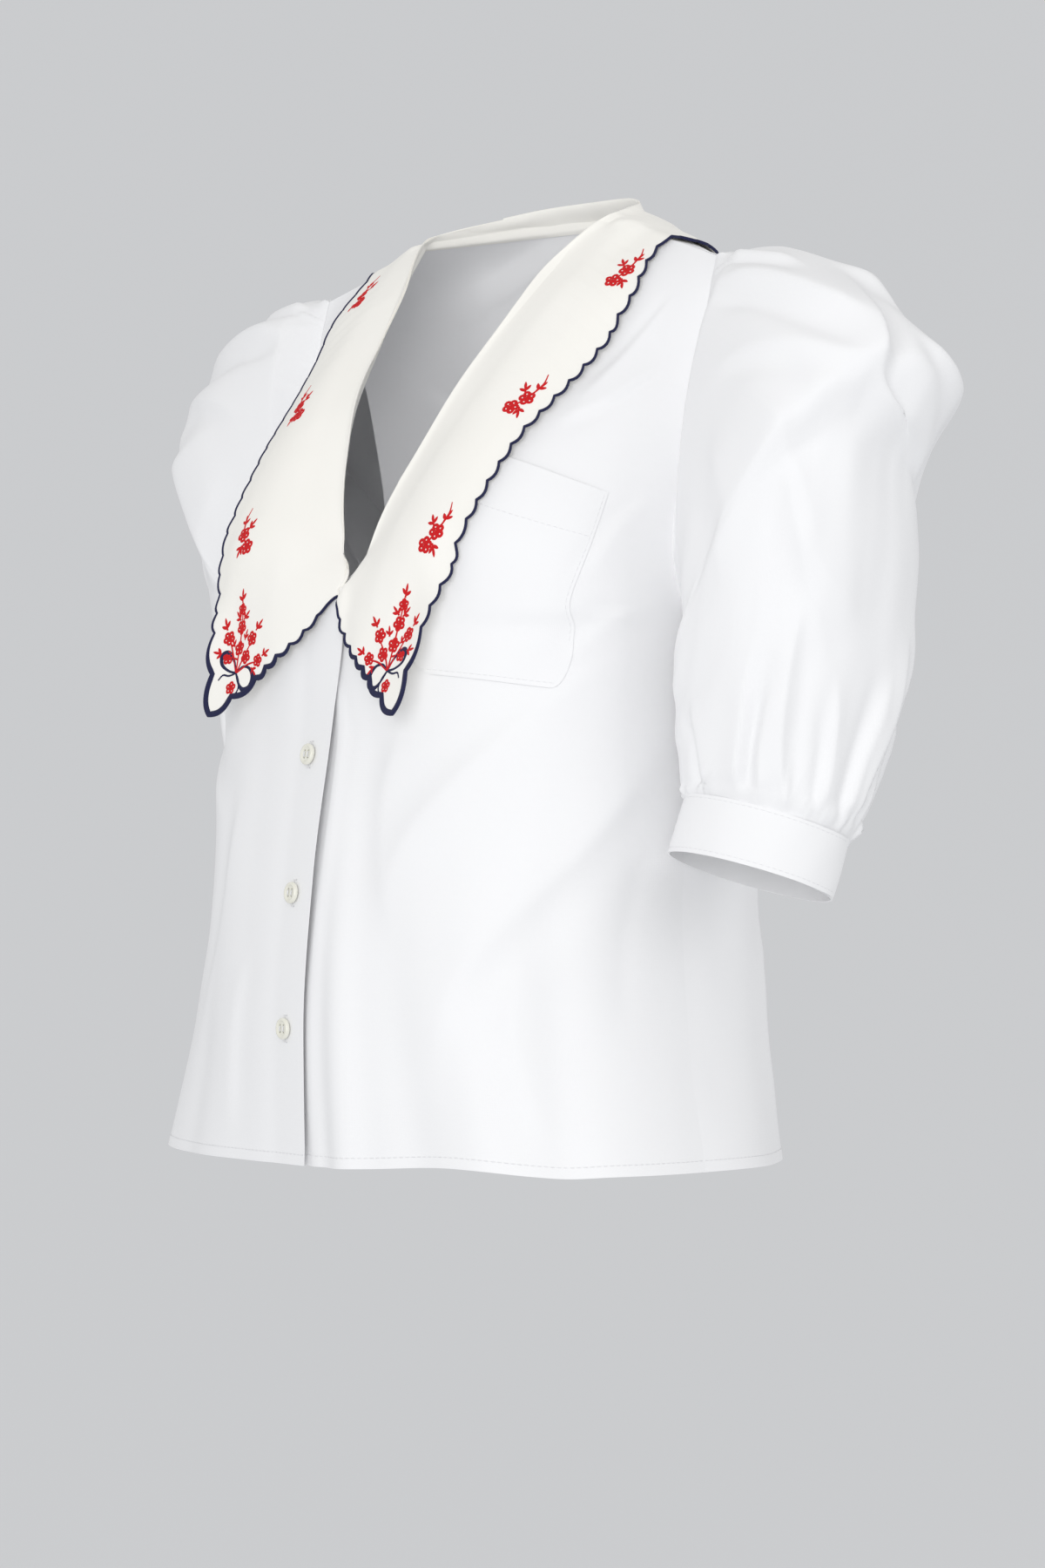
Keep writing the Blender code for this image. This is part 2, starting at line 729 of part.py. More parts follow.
def makeFrontButtons(right, material, collection, cutters):
    """Three buttons sit on the centre line of the upper front."""
    tree = surfaceTree([right])
    for index, height in enumerate(BUTTON_HEIGHTS, start=1):
        near, normal, _, _ = tree.ray_cast(Vector((0.0, -400.0, height)), Vector((0, 1, 0)))
        if normal.y > 0.0:
            normal = -normal
        where = near + normal * (WALL + GAP)
        makeButton(f"button_{index}", where, normal, material, collection, cutters)


def main():
    clearScene()
    scene = bpy.context.scene
    collection = bpy.data.collections.new("embroidered_collar_shirt")
    scene.collection.children.link(collection)
    cutters = bpy.data.collections.new("button_cutters")
    scene.collection.children.link(cutters)

    def cloth(name):
        return makeMaterial(name + "_cotton", CLOTH_COLOUR, 0.75)

    right = makeFront("front_right", -1, cloth("front_right"), collection)
    left = makeFront("front_left", 1, cloth("front_left"), collection)
    back = makeBack(cloth("back"), collection)
    makePocket(surfaceTree([left]), cloth("pocket"), collection)
    panels = surfaceTree([right, left, back])
    makeCollar(panels, makeMaterial("collar_cotton", COLLAR_COLOUR, 0.8), collection)
    makeSleeve("sleeve_left", 1, cloth("sleeve_left"), collection)
    makeSleeve("sleeve_right", -1, cloth("sleeve_right"), collection)
    makeCuff("cuff_left", 1, cloth("cuff_left"), collection)
    makeCuff("cuff_right", -1, cloth("cuff_right"), collection)
    pearl = makeMaterial("button_resin", BUTTON_COLOUR, 0.25)
    makeFrontButtons(right, pearl, collection, cutters)


main()
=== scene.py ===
# Cotton shirt with an embroidered pointed collar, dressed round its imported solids.
import math
from bisect import bisect_right

import bmesh
import bpy
from mathutils import Matrix, Vector, noise
from mathutils.bvhtree import BVHTree


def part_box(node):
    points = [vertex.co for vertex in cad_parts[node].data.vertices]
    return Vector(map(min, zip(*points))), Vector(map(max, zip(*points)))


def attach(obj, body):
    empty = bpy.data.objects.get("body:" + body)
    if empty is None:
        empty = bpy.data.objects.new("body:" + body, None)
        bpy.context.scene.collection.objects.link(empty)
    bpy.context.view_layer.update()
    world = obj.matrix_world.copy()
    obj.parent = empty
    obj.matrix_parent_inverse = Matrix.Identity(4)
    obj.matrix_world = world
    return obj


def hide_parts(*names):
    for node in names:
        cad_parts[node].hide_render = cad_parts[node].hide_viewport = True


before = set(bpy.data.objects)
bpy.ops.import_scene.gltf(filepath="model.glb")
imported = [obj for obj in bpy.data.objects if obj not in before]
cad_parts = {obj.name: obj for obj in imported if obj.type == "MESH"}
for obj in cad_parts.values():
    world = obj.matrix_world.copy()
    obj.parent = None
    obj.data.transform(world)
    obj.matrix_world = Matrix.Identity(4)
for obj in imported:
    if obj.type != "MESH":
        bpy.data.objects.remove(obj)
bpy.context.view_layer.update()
mm = 0.001
print("stage: frame loaded")


def addObject(name, data):
    made = bpy.data.objects.new(name, data)
    bpy.context.scene.collection.objects.link(made)
    return made



# Camera: the photograph's three-quarter view, level, from the wearer's left front.
view = {"turn": 47.0, "distance": 2600.0, "height": -321.0, "right": 2.5, "lens": 104.0}


def makeCamera():
    turn = math.radians(view["turn"])
    right = Vector((math.cos(turn), math.sin(turn), 0.0))
    towards = Vector((math.sin(turn), -math.cos(turn), 0.0))
    aim = right * view["right"] + Vector((0.0, 0.0, view["height"]))
    data = bpy.data.cameras.new("camera")
    data.lens = view["lens"]
    data.sensor_width = 36.0
    data.clip_end = 50.0
    camera = addObject("camera", data)
    place = (aim + towards * view["distance"]) * mm
    camera.matrix_world = Matrix.Translation(place) @ towards.to_track_quat("Z", "Y").to_matrix().to_4x4()
    bpy.context.scene.camera = camera


makeCamera()

# Tables of the garment's form, in millimetres. They began as the part's.
form = {
    "wall": 1.2,
    "gap": 0.35,
    "lap": 2.2,
    "lapEdge": 5.0,
    "hemWave": 4.0,
    "frontEdgeSag": 9.0,
    "collarClearance": 5.3,
    "scallops": 80,
    "scallopDepth": 2.6,
    "tipScallopDepth": 4.0,
    "sleeveFullness": 2.25,
    "cuffDepth": 31.5,
    "cuffRadius": 45.5,
    "cuffLapDegrees": 22.0,
    "cuffLapEnd": -28.0,
    "rightCuffShift": (-6.0, 25.0, 0.0),
    # cloth from the middle line to the side seam, and between the lowest rows of the tables
    "halfWidth": 195.0,
    "lowRowDepth": 76.0,
}
# inner end x y z, first guide x y, second guide x y, outer end x y z
frontRows = (
    (80, 1, -7, 107, 1, 135, 0, 163, -2, -32),
    (66, -28, -34, 98, -34, 134, -26, 163, -9, -58),
    (54, -58, -72, 88, -68, 134, -42, 161, -14, -86),
    (45, -84, -110, 84, -100, 134, -72, 159, -19, -114),
    (33, -103, -148, 84, -130, 140, -104, 156, -25, -148),
    (18, -120, -188, 78, -156, 150, -132, 152, -27, -188),
    (-12, -136, -226, 34, -144, 156, -168, 150, -16, -224),
    (-12, -141, -250, 40, -151, 158, -164, 149, 6, -238),
    (-12, -149, -300, 80, -157, 152, -142, 147, -8, -300),
    (-12, -161, -372, 80, -167, 153, -142, 147, -14, -372),
    (-12, -168, -455, 85, -176, 165, -142, 159, -22, -455),
    (-12, -167, -529, 92, -178, 190, -149, 180, -30, -531),
)
backRows = (
    (80, 1, -7, 107, 2, 135, 1, 163, -2, -32),
    (66, 36, -1, 98, 38, 134, 28, 164, 10, -40),
    (36, 57, 3, 80, 64, 130, 46, 164, 18, -56),
    (0, 63, 4, 50, 68, 122, 70, 163, 24, -76),
    (0, 82, -50, 55, 84, 130, 86, 161, 31, -108),
    (0, 93, -100, 60, 95, 138, 95, 157, 36, -150),
    (0, 98, -150, 65, 100, 144, 102, 154, 37, -185),
    (0, 99, -200, 70, 101, 150, 108, 151, 26, -220),
    (0, 98, -245, 72, 100, 152, 110, 149, 6, -238),
    (0, 96, -300, 76, 98, 150, 104, 147, -8, -300),
    (0, 94, -372, 80, 96, 150, 100, 147, -14, -372),
    (0, 96, -455, 85, 98, 162, 98, 159, -22, -455),
    (0, 98, -531, 90, 100, 184, 92, 180, -30, -531),
)
# neck place, roll x y z, edge x y z
collarRows = (
    (-3.0, 0, 58, 17, 0, 94, -68),
    (-2.1, 34, 54, 16, 48, 88, -62),
    (-1.1, 62, 36, 10, 92, 66, -44),
    (-0.35, 74, 12, 3, 118, 34, -24),
    (0.2, 74, -6, -4, 121, 0, -27),
    (0.8, 66, -22, -18, 123, -24, -50),
    (1.4, 56, -38, -37, 122, -48, -80),
    (2.1, 49, -62, -68, 115, -76, -108),
    (2.8, 42, -86, -100, 107, -99, -134),
    (3.8, 30, -104, -136, 101, -121, -168),
    (4.7, 17, -119, -170, 96, -138, -202),
    (5.2, 9, -127, -196, 88, -152, -234),
    (5.35, 3.5, -138, -211, 78, -165, -284),
)
# turn, tilt, centre x y z, reach top, bottom, front, back
sleeveRows = (
    (7.7, 0, 172, 5, -136, 107, 107, 44, 50),
    (16.4, 0, 191, 8, -145, 110, 110, 56, 66),
    (27.6, 0, 211, 10, -161, 111, 111, 67, 80),
    (37.6, 0, 225, 11, -181, 109, 109, 71, 86),
    (40.0, 0, 224, 10, -196, 102, 100, 68, 73),
    (39.0, 0, 212, 8, -212, 88, 85, 64, 66),
    (49.0, 0, 210, 4, -240, 76, 73, 62, 69),
    (58.0, 2, 209, 1, -268, 66, 62, 59, 68),
    (69.0, 6, 209, -2, -294, 57, 54, 55, 65),
    (81.0, 12, 208, -5, -321, 49, 49, 51, 55),
    (96.0, 17, 207, -9, -341, 45, 45, 45, 45),
)
# across and row of the pocket's corners on the left front
pocketCorners = ((0.38, 3.80), (0.82, 4.40), (0.75, 7.58), (0.38, 7.36))
# Large soft folds: across and row where each begins and ends, width, height
leftFolds = (
    (0.16, 7.5, 0.195, 11.0, 0.042, 7.0),
    (0.30, 8.5, 0.36, 11.0, 0.060, -4.0),
    (0.55, 8.0, 0.52, 11.0, 0.070, 4.0),
    (0.74, 7.5, 0.70, 11.0, 0.060, -4.0),
)
rightFolds = (
    (0.36, 7.0, 0.42, 11.0, 0.070, -3.0),
    (0.60, 8.5, 0.62, 11.0, 0.080, 4.0),
    (0.80, 7.5, 0.78, 11.0, 0.060, -3.0),
)
backFolds = (
    (0.14, 8.0, 0.16, 12.0, 0.060, 5.0),
    (0.40, 7.0, 0.42, 12.0, 0.070, -5.0),
    (0.62, 6.0, 0.66, 12.0, 0.070, 5.0),
    (0.84, 8.0, 0.86, 12.0, 0.060, -4.0),
)
frontLast = len(frontRows) - 1.0
backLast = len(backRows) - 1.0


def smoothStep(value):
    value = min(max(value, 0.0), 1.0)
    return value * value * (3.0 - 2.0 * value)


def bell(value, centre, width):
    return math.exp(-(((value - centre) / width) ** 2))


def mirrored(vector, side):
    return Vector((vector.x * side, vector.y, vector.z))


def runLengths(points):
    # how far along a line each of its points lies
    lengths = [0.0]
    for first, second in zip(points, points[1:]):
        lengths.append(lengths[-1] + (second - first).length)
    return lengths


def steadySlope(before, after):
    return 0.0 if before * after <= 0.0 else 2.0 * before * after / (before + after)


def rowAt(rows, place):
    # the numbers of a table at a place between two of its rows, with no overshoot
    last = len(rows) - 1
    place = min(max(place, 0.0), float(last))
    low = min(int(place), last - 1)
    part = place - low
    t2 = part * part
    t3 = t2 * part
    found = []
    for a, b, c, d in zip(rows[max(low - 1, 0)], rows[low], rows[low + 1], rows[min(low + 2, last)]):
        rise = c - b
        slopeB = steadySlope(b - a, rise) if low > 0 else rise
        slopeC = steadySlope(rise, d - c) if low + 2 <= last else rise
        value = (2 * t3 - 3 * t2 + 1) * b + (t3 - 2 * t2 + part) * slopeB
        found.append(value + (3 * t2 - 2 * t3) * c + (t3 - t2) * slopeC)
    return found


def rowPoint(values, t):
    # a point of one section, which is a Bezier curve with two guides
    s = 1.0 - t
    w0, w1, w2, w3 = s * s * s, 3 * s * s * t, 3 * s * t * t, t * t * t
    z1 = values[2] + (values[9] - values[2]) / 3.0
    z2 = values[2] + (values[9] - values[2]) * 2.0 / 3.0
    return Vector((
        values[0] * w0 + values[3] * w1 + values[5] * w2 + values[7] * w3,
        values[1] * w0 + values[4] * w1 + values[6] * w2 + values[8] * w3,
        values[2] * w0 + z1 * w1 + z2 * w2 + values[9] * w3,
    ))


def plainPoint(rows, across, place):
    return rowPoint(rowAt(rows, place), across)


def outward(rows, across, place, facing):
    step = 0.01
    here = rowAt(rows, place)
    along = rowPoint(here, min(across + step, 1.0)) - rowPoint(here, max(across - step, 0.0))
    fall = plainPoint(rows, across, min(place + step, len(rows) - 1.0))
    fall -= plainPoint(rows, across, max(place - step, 0.0))
    return (along.cross(fall) * facing).normalized()


def foldHeight(folds, across, place):
    total = 0.0
    for acrossTop, rowTop, acrossEnd, rowEnd, width, height in folds:
        part = (place - rowTop) / (rowEnd - rowTop)
        if part > 0.0:
            centre = acrossTop + (acrossEnd - acrossTop) * part
            total += height * bell(across, centre, width) * smoothStep(part)
    return total


def smoothCurve(a, b, c, d, t):
    value = 2.0 * b + (c - a) * t + (2.0 * a - 5.0 * b + 4.0 * c - d) * t * t
    return 0.5 * (value + (3.0 * b - a - 3.0 * c + d) * t * t * t)


def clampedCurve(points, place):
    last = len(points) - 1
    low = min(max(int(place), 0), last - 1)
    t = place - low
    before = points[low - 1] if low > 0 else points[0] * 2.0 - points[1]
    after = points[low + 2] if low + 2 <= last else points[last] * 2.0 - points[last - 1]
    return smoothCurve(before, points[low], points[low + 1], after, t)


def layCreases(creases):
    # each crease: the points of its line, width, height, and how deep the trough beside it is
    laid = []
    for points, width, height, trough in creases:
        ends = [Vector(point) for point in points]
        steps = 4 * (len(ends) - 1)
        line = [clampedCurve(ends, k * (len(ends) - 1) / steps) for k in range(steps + 1)]
        reach = 4.0 * width
        box = (min(p.x for p in line) - reach, max(p.x for p in line) + reach,
               min(p.y for p in line) - reach, max(p.y for p in line) + reach)
        laid.append(([(p.x, p.y) for p in line], box, width, height, trough))
    return laid


def creaseHeight(laid, a, b):
    # a ridge, steep towards its soft trough and gentle on the other side, fading at both ends
    total = 0.0
    for line, box, width, height, trough in laid:
        if a < box[0] or a > box[1] or b < box[2] or b > box[3]:
            continue
        nearest = 1e9
        for i in range(len(line) - 1):
            startA, startB = line[i]
            alongA = line[i + 1][0] - startA
            alongB = line[i + 1][1] - startB
            length2 = alongA * alongA + alongB * alongB
            part = min(max(((a - startA) * alongA + (b - startB) * alongB) / length2, 0.0), 1.0)
            awayA = a - startA - alongA * part
            awayB = b - startB - alongB * part
            gap = awayA * awayA + awayB * awayB
            if gap < nearest:
                nearest = gap
                t = (i + part) / (len(line) - 1)
                side = 1.0 if awayA * alongB - awayB * alongA > 0.0 else -1.0
        off = math.sqrt(nearest) * side
        spread = width * (0.75 + 0.5 * t)
        if trough < 0.0:
            off = -off
        steep = 0.5 if off > 0.0 and trough != 0.0 else 1.5 if trough != 0.0 else 1.0
        ridge = math.exp(-((abs(off) / (steep * spread)) ** 1.3))
        ridge -= abs(trough) * bell(off, 1.3 * spread, spread)
        total += height * ridge * smoothStep(t / 0.25) * smoothStep((1.0 - t) / 0.3)
    return total


def unevenness(a, b, seed, size):
    # the slight unevenness of pressed cotton, in millimetres
    wide = noise.noise(Vector((a * 0.011, b * 0.011, seed)))
    middle = noise.noise(Vector((a * 0.032, b * 0.026, seed + 7.0)))
    return size * (wide + 0.3 * middle)


# Creases on the body: points (across, height) of each line in millimetres, width, height, trough.
body = {
    "thickness": 0.5,
    "unevenness": 1.3,
    "hemDepth": 6.0,
    "hemRise": 0.3,
    # the left front stands up beside the lap: across, sway, sway's rate, width, height
    "lapRidge": (0.118, 0.012, 1.7, 0.020, 3.2),
    "rightEdgeShift": 4.2,
    "leftCreases": (
        (((172, -246), (120, -290), (70, -345), (55, -400)), 11, 2.4, 0.5),
        (((185, -300), (150, -360), (95, -425), (80, -480)), 12, 2.6, -0.5),
        (((60, -285), (52, -340), (66, -420)), 9, 1.6, 0.5),
        (((126, -410), (118, -455), (132, -528)), 10, 2.2, 0.5),
        (((158, -52), (138, -80), (118, -118)), 5, 1.1, 0.5),
        (((168, -90), (140, -112), (112, -124)), 5, 1.2, -0.5),
        (((183, -345), (172, -400), (166, -470)), 8, -1.8, 0.0),
        (((30, -250), (34, -300), (28, -370)), 7, 1.2, -0.4),
        (((178, -225), (160, -236), (140, -262)), 5, 1.6, 0.5),
        (((182, -165), (166, -185), (158, -215)), 5, 1.4, 0.5),
    ),
    "rightCreases": (
        (((172, -246), (125, -300), (72, -350)), 11, 2.4, 0.5),
        (((60, -320), (72, -400), (96, -480)), 10, 2.0, -0.5),
        (((180, -300), (150, -370), (122, -440)), 11, 2.2, 0.5),
        (((38, -410), (46, -460), (44, -528)), 8, 1.6, 0.5),
        (((150, -60), (130, -90), (110, -125)), 5, 1.2, 0.5),
        (((178, -225), (160, -238), (138, -266)), 5, 1.6, 0.5),
    ),
    "backCreases": (
        (((-165, -80), (-110, -105), (-55, -150)), 9, 2.8, 0.5),
        (((165, -85), (100, -120), (45, -175)), 9, 2.8, -0.5),
        (((-185, -240), (-135, -280), (-90, -340), (-80, -400)), 10, 2.8, 0.5),
        (((185, -245), (130, -300), (82, -355)), 10, 2.6, -0.5),
        (((-62, -290), (-70, -380), (-60, -490)), 12, 2.6, 0.5),
        (((28, -320), (42, -410), (40, -510)), 11, 2.4, -0.5),
        (((118, -390), (128, -450), (124, -535)), 10, 2.2, 0.5),
        (((-128, -390), (-122, -450), (-126, -530)), 10, -2.0, 0.4),
        (((-25, -170), (5, -215), (30, -265)), 13, 1.6, 0.4),
        (((-176, -150), (-150, -175), (-140, -215)), 6, 1.8, 0.5),
        (((178, -155), (152, -180), (146, -220)), 6, 1.8, -0.5),
    ),
}
leftCreases = layCreases(body["leftCreases"])
rightCreases = layCreases(body["rightCreases"])
backCreases = layCreases(body["backCreases"])


def hemLift(height):
    # the hem's double cloth is a little thicker; height is above the lower edge
    return body["hemRise"] * smoothStep((body["hemDepth"] + 1.5 - height) / 1.5)


def frontSpot(across, place, side, fine=True):
    # point and outward normal of a front; side is 1 on the wearer's left, -1 on the right
    point = plainPoint(frontRows, across, place)
    normal = outward(frontRows, across, place, -1)
    lift = foldHeight(leftFolds if side > 0 else rightFolds, across, place)
    if side < 0:
        lap = form["lap"] * smoothStep((50.0 - point.x) / 32.0)
        lap += form["lapEdge"] * min(max((14.0 - point.x) / 26.0, 0.0), 1.0)
        lift += lap * smoothStep((place - 3.6) / 2.4)
    if fine:
        a = across * form["halfWidth"]
        b = point.z
        calm = smoothStep((across - 0.10) / 0.15) * smoothStep((1.0 - across) / 0.06)
        creases = leftCreases if side > 0 else rightCreases
        lift += calm * (creaseHeight(creases, a, b) + unevenness(a, b, 3.0 + side, body["unevenness"]))
        lift += hemLift((frontLast - place) * form["lowRowDepth"])
        if side > 0:
            # a shaded strip shows between this ridge and the lap
            centre, sway, rate, width, height = body["lapRidge"]
            ridge = (across - centre - sway * math.sin(place * rate)) / width
            lift += height * math.exp(-(abs(ridge) ** 1.5)) * smoothStep((place - 6.6) / 1.6)
        else:
            shift = body["rightEdgeShift"] * smoothStep((place - 5.4) / 2.0)
            point.x -= shift * (1.0 - smoothStep(across / 0.2))
    point = point + normal * lift
    if side > 0:
        point.z += form["hemWave"] * bell(across, 0.42, 0.15) * smoothStep(place - 10.0)
    return mirrored(point, side), mirrored(normal, side)


def backSpot(across, place, side, fine=True):
    point = plainPoint(backRows, across, place)
    normal = outward(backRows, across, place, 1)
    lift = foldHeight(backFolds, 0.5 + 0.5 * across * side, place)
    lift *= smoothStep(across * 20.0) if place < 3.5 else 1.0
    if across <= 0.0 and place >= 3.0:
        normal.x = 0.0
    if fine:
        a = across * side * form["halfWidth"]
        b = point.z
        calm = smoothStep((1.0 - across) / 0.06) * smoothStep((place - 1.0) / 2.0)
        lift += calm * (creaseHeight(backCreases, a, b) + unevenness(a, b, 9.0, body["unevenness"]))
        lift += hemLift((backLast - place) * form["lowRowDepth"])
    return mirrored(point + normal * lift, side), mirrored(normal, side)


# Meshes and materials

def gridMesh(columns, rows, place, size=None, closed=False):
    # a grid whose points a function places; its UV map is in metres of cloth
    shape = bmesh.new()
    layer = shape.loops.layers.uv.new("cloth")
    bmesh.ops.create_grid(shape, x_segments=columns, y_segments=rows, size=0.5, calc_uvs=True)
    width, height = size or (1.0, 1.0)
    for face in shape.faces:
        for loop in face.loops:
            spot = loop.vert.co
            loop[layer].uv = ((spot.x + 0.5) * width * mm, (spot.y + 0.5) * height * mm)
    for vertex in shape.verts:
        vertex.co = place(vertex.co.x + 0.5, vertex.co.y + 0.5) * mm
    if closed:
        bmesh.ops.remove_doubles(shape, verts=shape.verts, dist=0.00002)
    return shape


def meshFrom(name, shape):
    mesh = bpy.data.meshes.new(name)
    shape.to_mesh(mesh)
    shape.free()
    return mesh


def finishMesh(name, shape, material, flip=False, wall=0.0, offset=1.0):
    if flip:
        bmesh.ops.reverse_faces(shape, faces=shape.faces)
    for face in shape.faces:
        face.smooth = True
    for edge in shape.edges:
        edge.smooth = wall == 0.0 or not edge.is_boundary
    mesh = meshFrom(name, shape)
    mesh.materials.append(material)
    piece = addObject(name, mesh)
    if wall > 0.0:
        solid = piece.modifiers.new("Cloth", "SOLIDIFY")
        solid.thickness = wall * mm
        solid.offset = offset
        solid.use_even_offset = False
    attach(piece, "root")
    return piece


def spinProfile(profile, steps, merge):
    # spins points (distance, height) in millimetres about the upright axis
    shape = bmesh.new()
    verts = [shape.verts.new(Vector((x, 0.0, z)) * mm) for x, z in profile]
    for first, second in zip(verts, verts[1:]):
        shape.edges.new((first, second))
    bmesh.ops.spin(shape, geom=list(shape.verts) + list(shape.edges), cent=(0, 0, 0), axis=(0, 0, 1),
                   angle=2.0 * math.pi, steps=steps, use_merge=True)
    bmesh.ops.remove_doubles(shape, verts=shape.verts, dist=merge)
    bmesh.ops.recalc_face_normals(shape, faces=shape.faces)
    return shape


def hexColour(text):
    parts = [int(text[i : i + 2], 16) / 255.0 for i in (1, 3, 5)]
    return tuple(c / 12.92 if c <= 0.04045 else ((c + 0.055) / 1.055) ** 2.4 for c in parts) + (1.0,)


def addNode(tree, kind, settings=None, **links):
    node = tree.nodes.new(kind)
    for key, value in (settings or {}).items():
        if hasattr(node, key) and key not in node.inputs:
            setattr(node, key, value)
        else:
            node.inputs[key].default_value = value
    for key, source in links.items():
        tree.links.new(source, node.inputs[key.replace("_", " ")])
    return node


def startMaterial(name, colour, roughness, **more):
    made = bpy.data.materials.new(name)
    made.use_nodes = True
    made.diffuse_color = hexColour(colour)
    shader = made.node_tree.nodes["Principled BSDF"]
    shader.inputs["Base Color"].default_value = hexColour(colour)
    shader.inputs["Roughness"].default_value = roughness
    for key, value in more.items():
        shader.inputs[key.replace("_", " ")].default_value = value
    return made, made.node_tree, shader


def mixColours(tree, shader, share, first, second):
    mixed = addNode(tree, "ShaderNodeMix", {"data_type": "RGBA"})
    mixed.inputs[6].default_value = hexColour(first)
    mixed.inputs[7].default_value = hexColour(second)
    tree.links.new(share, mixed.inputs[0])
    tree.links.new(mixed.outputs[2], shader.inputs["Base Color"])


def addBands(tree, direction, thread, **more):
    # one light and one dark band for each thread, whose width is in millimetres
    coords = addNode(tree, "ShaderNodeUVMap", {"uv_map": "cloth"})
    settings = {"wave_type": "BANDS", "bands_direction": direction,
                "Scale": 2.0 * math.pi / (thread * mm) / 20.0, **more}
    return addNode(tree, "ShaderNodeTexWave", settings, Vector=coords.outputs["UV"])


def addPatches(tree, size, **more):
    # soft patches, whose size is in millimetres
    place = addNode(tree, "ShaderNodeTexCoord")
    settings = {"Scale": 1.0 / (size * mm), **more}
    return addNode(tree, "ShaderNodeTexNoise", settings, Vector=place.outputs["Object"])


def addBump(tree, strength, depth, height, **links):
    settings = {"Strength": strength, "Distance": depth * mm}
    return addNode(tree, "ShaderNodeBump", settings, Height=height, **links)


def clothMaterial(name, look):
    # cotton poplin: matt, with a faint sheen from its fibre ends and a fine plain weave
    made, tree, shader = startMaterial(
        name, look["colour"], look["roughness"], Sheen_Weight=look["sheen"], Sheen_Roughness=0.5)
    weave = addNode(tree, "ShaderNodeMath", {"operation": "MULTIPLY"})
    for i, direction in enumerate("XY"):
        tree.links.new(addBands(tree, direction, look["thread"]).outputs["Fac"], weave.inputs[i])
    slubs = addPatches(tree, look["slub"], Detail=3.0)
    shade = addPatches(tree, 90.0, Detail=2.0)
    mixColours(tree, shader, shade.outputs["Fac"], look["colour"], look["shade"])
    wide = addBump(tree, look["slubDepth"], 0.4, slubs.outputs["Fac"])
    fine = addBump(tree, look["weaveDepth"], 0.1, weave.outputs["Value"], Normal=wide.outputs["Normal"])
    tree.links.new(fine.outputs["Normal"], shader.inputs["Normal"])
    return made


def threadMaterial(name, look):
    # stranded cotton laid side by side: satin rows across each shape, with painted shade in the groove
    # beside each row
    made, tree, shader = startMaterial(
        name, look["colour"], look["roughness"], Sheen_Weight=0.03, Specular_IOR_Level=0.3)
    rows = addBands(tree, "X", look["thread"], Distortion=0.6)
    # the darker "deep" colour of each band is painted shade between thread rows; the same bands also raise
    # the rows as bumps
    mixColours(tree, shader, rows.outputs["Fac"], look["deep"], look["colour"])
    bump = addBump(tree, 0.6, 0.15, rows.outputs["Fac"])
    tree.links.new(bump.outputs["Normal"], shader.inputs["Normal"])
    return made


looks = {
    "poplin": {"colour": "#F8F8F9", "shade": "#F4F4F5", "roughness": 0.78, "sheen": 0.05, "thread": 0.9,
               "slub": 2.2, "slubDepth": 0.10, "weaveDepth": 0.15},
    "ivory": {"colour": "#FFFDF8", "shade": "#FCFAF3", "roughness": 0.8, "sheen": 0.05, "thread": 1.0,
              "slub": 2.4, "slubDepth": 0.12, "weaveDepth": 0.2},
    # for the threads, "deep" is painted shade in the grooves between satin rows
    "navy": {"colour": "#1D2250", "deep": "#12163A", "roughness": 0.6, "thread": 0.55},
    "red": {"colour": "#E3131A", "deep": "#C80D14", "roughness": 0.7, "thread": 0.55},
    "stitch": {"colour": "#F6F6F7", "deep": "#ECECEE", "roughness": 0.65, "thread": 0.4},
    "pearl": {"colour": "#F4F3E9", "shade": "#E9E7D8", "roughness": 0.22},
}
poplin = clothMaterial("cotton poplin", looks["poplin"])
ivoryCotton = clothMaterial("ivory cotton", looks["ivory"])
navyThread = threadMaterial("navy satin stitch", looks["navy"])
redThread = threadMaterial("red satin stitch", looks["red"])
sewingThread = threadMaterial("white sewing thread", looks["stitch"])


def pearlMaterial(look):
    # cast polyester: pearly, slightly see-through at its edge, polished
    made, tree, shader = startMaterial(
        "pearly polyester", look["colour"], look["roughness"], Coat_Weight=0.4, Coat_Roughness=0.1)
    swirl = addPatches(tree, 5.0, Detail=2.0, Distortion=1.5)
    mixColours(tree, shader, swirl.outputs["Fac"], look["colour"], look["shade"])
    return made


pearl = pearlMaterial(looks["pearl"])

# Body: two fronts and a back. The shell lies inside the CAD wall's thickness.
panelLift = 0.4


def makeFront(name, side):
    def place(u, v):
        point, normal = frontSpot(u, (1.0 - v) * frontLast, side)
        return point + normal * panelLift

    shape = gridMesh(78, 200, place, (200.0, 530.0))
    piece = finishMesh(name, shape, poplin, flip=side < 0, wall=body["thickness"])
    return piece


def makeBack():
    shape = bmesh.new()
    shape.loops.layers.uv.new("cloth")
    for side in (1.0, -1.0):

        def place(u, v):
            point, normal = backSpot(u, (1.0 - v) * backLast, side)
            return point + normal * panelLift

        half = gridMesh(60, 200, place, (195.0, 540.0))
        if side > 0:
            bmesh.ops.reverse_faces(half, faces=half.faces)
        held = meshFrom("half", half)
        shape.from_mesh(held)
        bpy.data.meshes.remove(held)
    middle = [v for v in shape.verts if abs(v.co.x) < 1e-6]
    bmesh.ops.remove_doubles(shape, verts=middle, dist=0.00002)
    piece = finishMesh("backPanel", shape, poplin, wall=body["thickness"])
    return piece


frontRight = makeFront("frontRight", -1.0)
frontLeft = makeFront("frontLeft", 1.0)
backPanel = makeBack()
print("stage: body")


def searchTree(meshes):
    # one tree over several meshes, each its points and the corners of its faces
    points = []
    faces = []
    for verts, corners in meshes:
        start = len(points)
        points += [v.co / mm for v in verts]
        faces += [[start + i for i in face] for face in corners]
    return BVHTree.FromPolygons(points, faces)


def surfaceTree(pieces):
    meshes = [piece.data for piece in pieces]
    return searchTree([(mesh.vertices, [face.vertices for face in mesh.polygons]) for mesh in meshes])


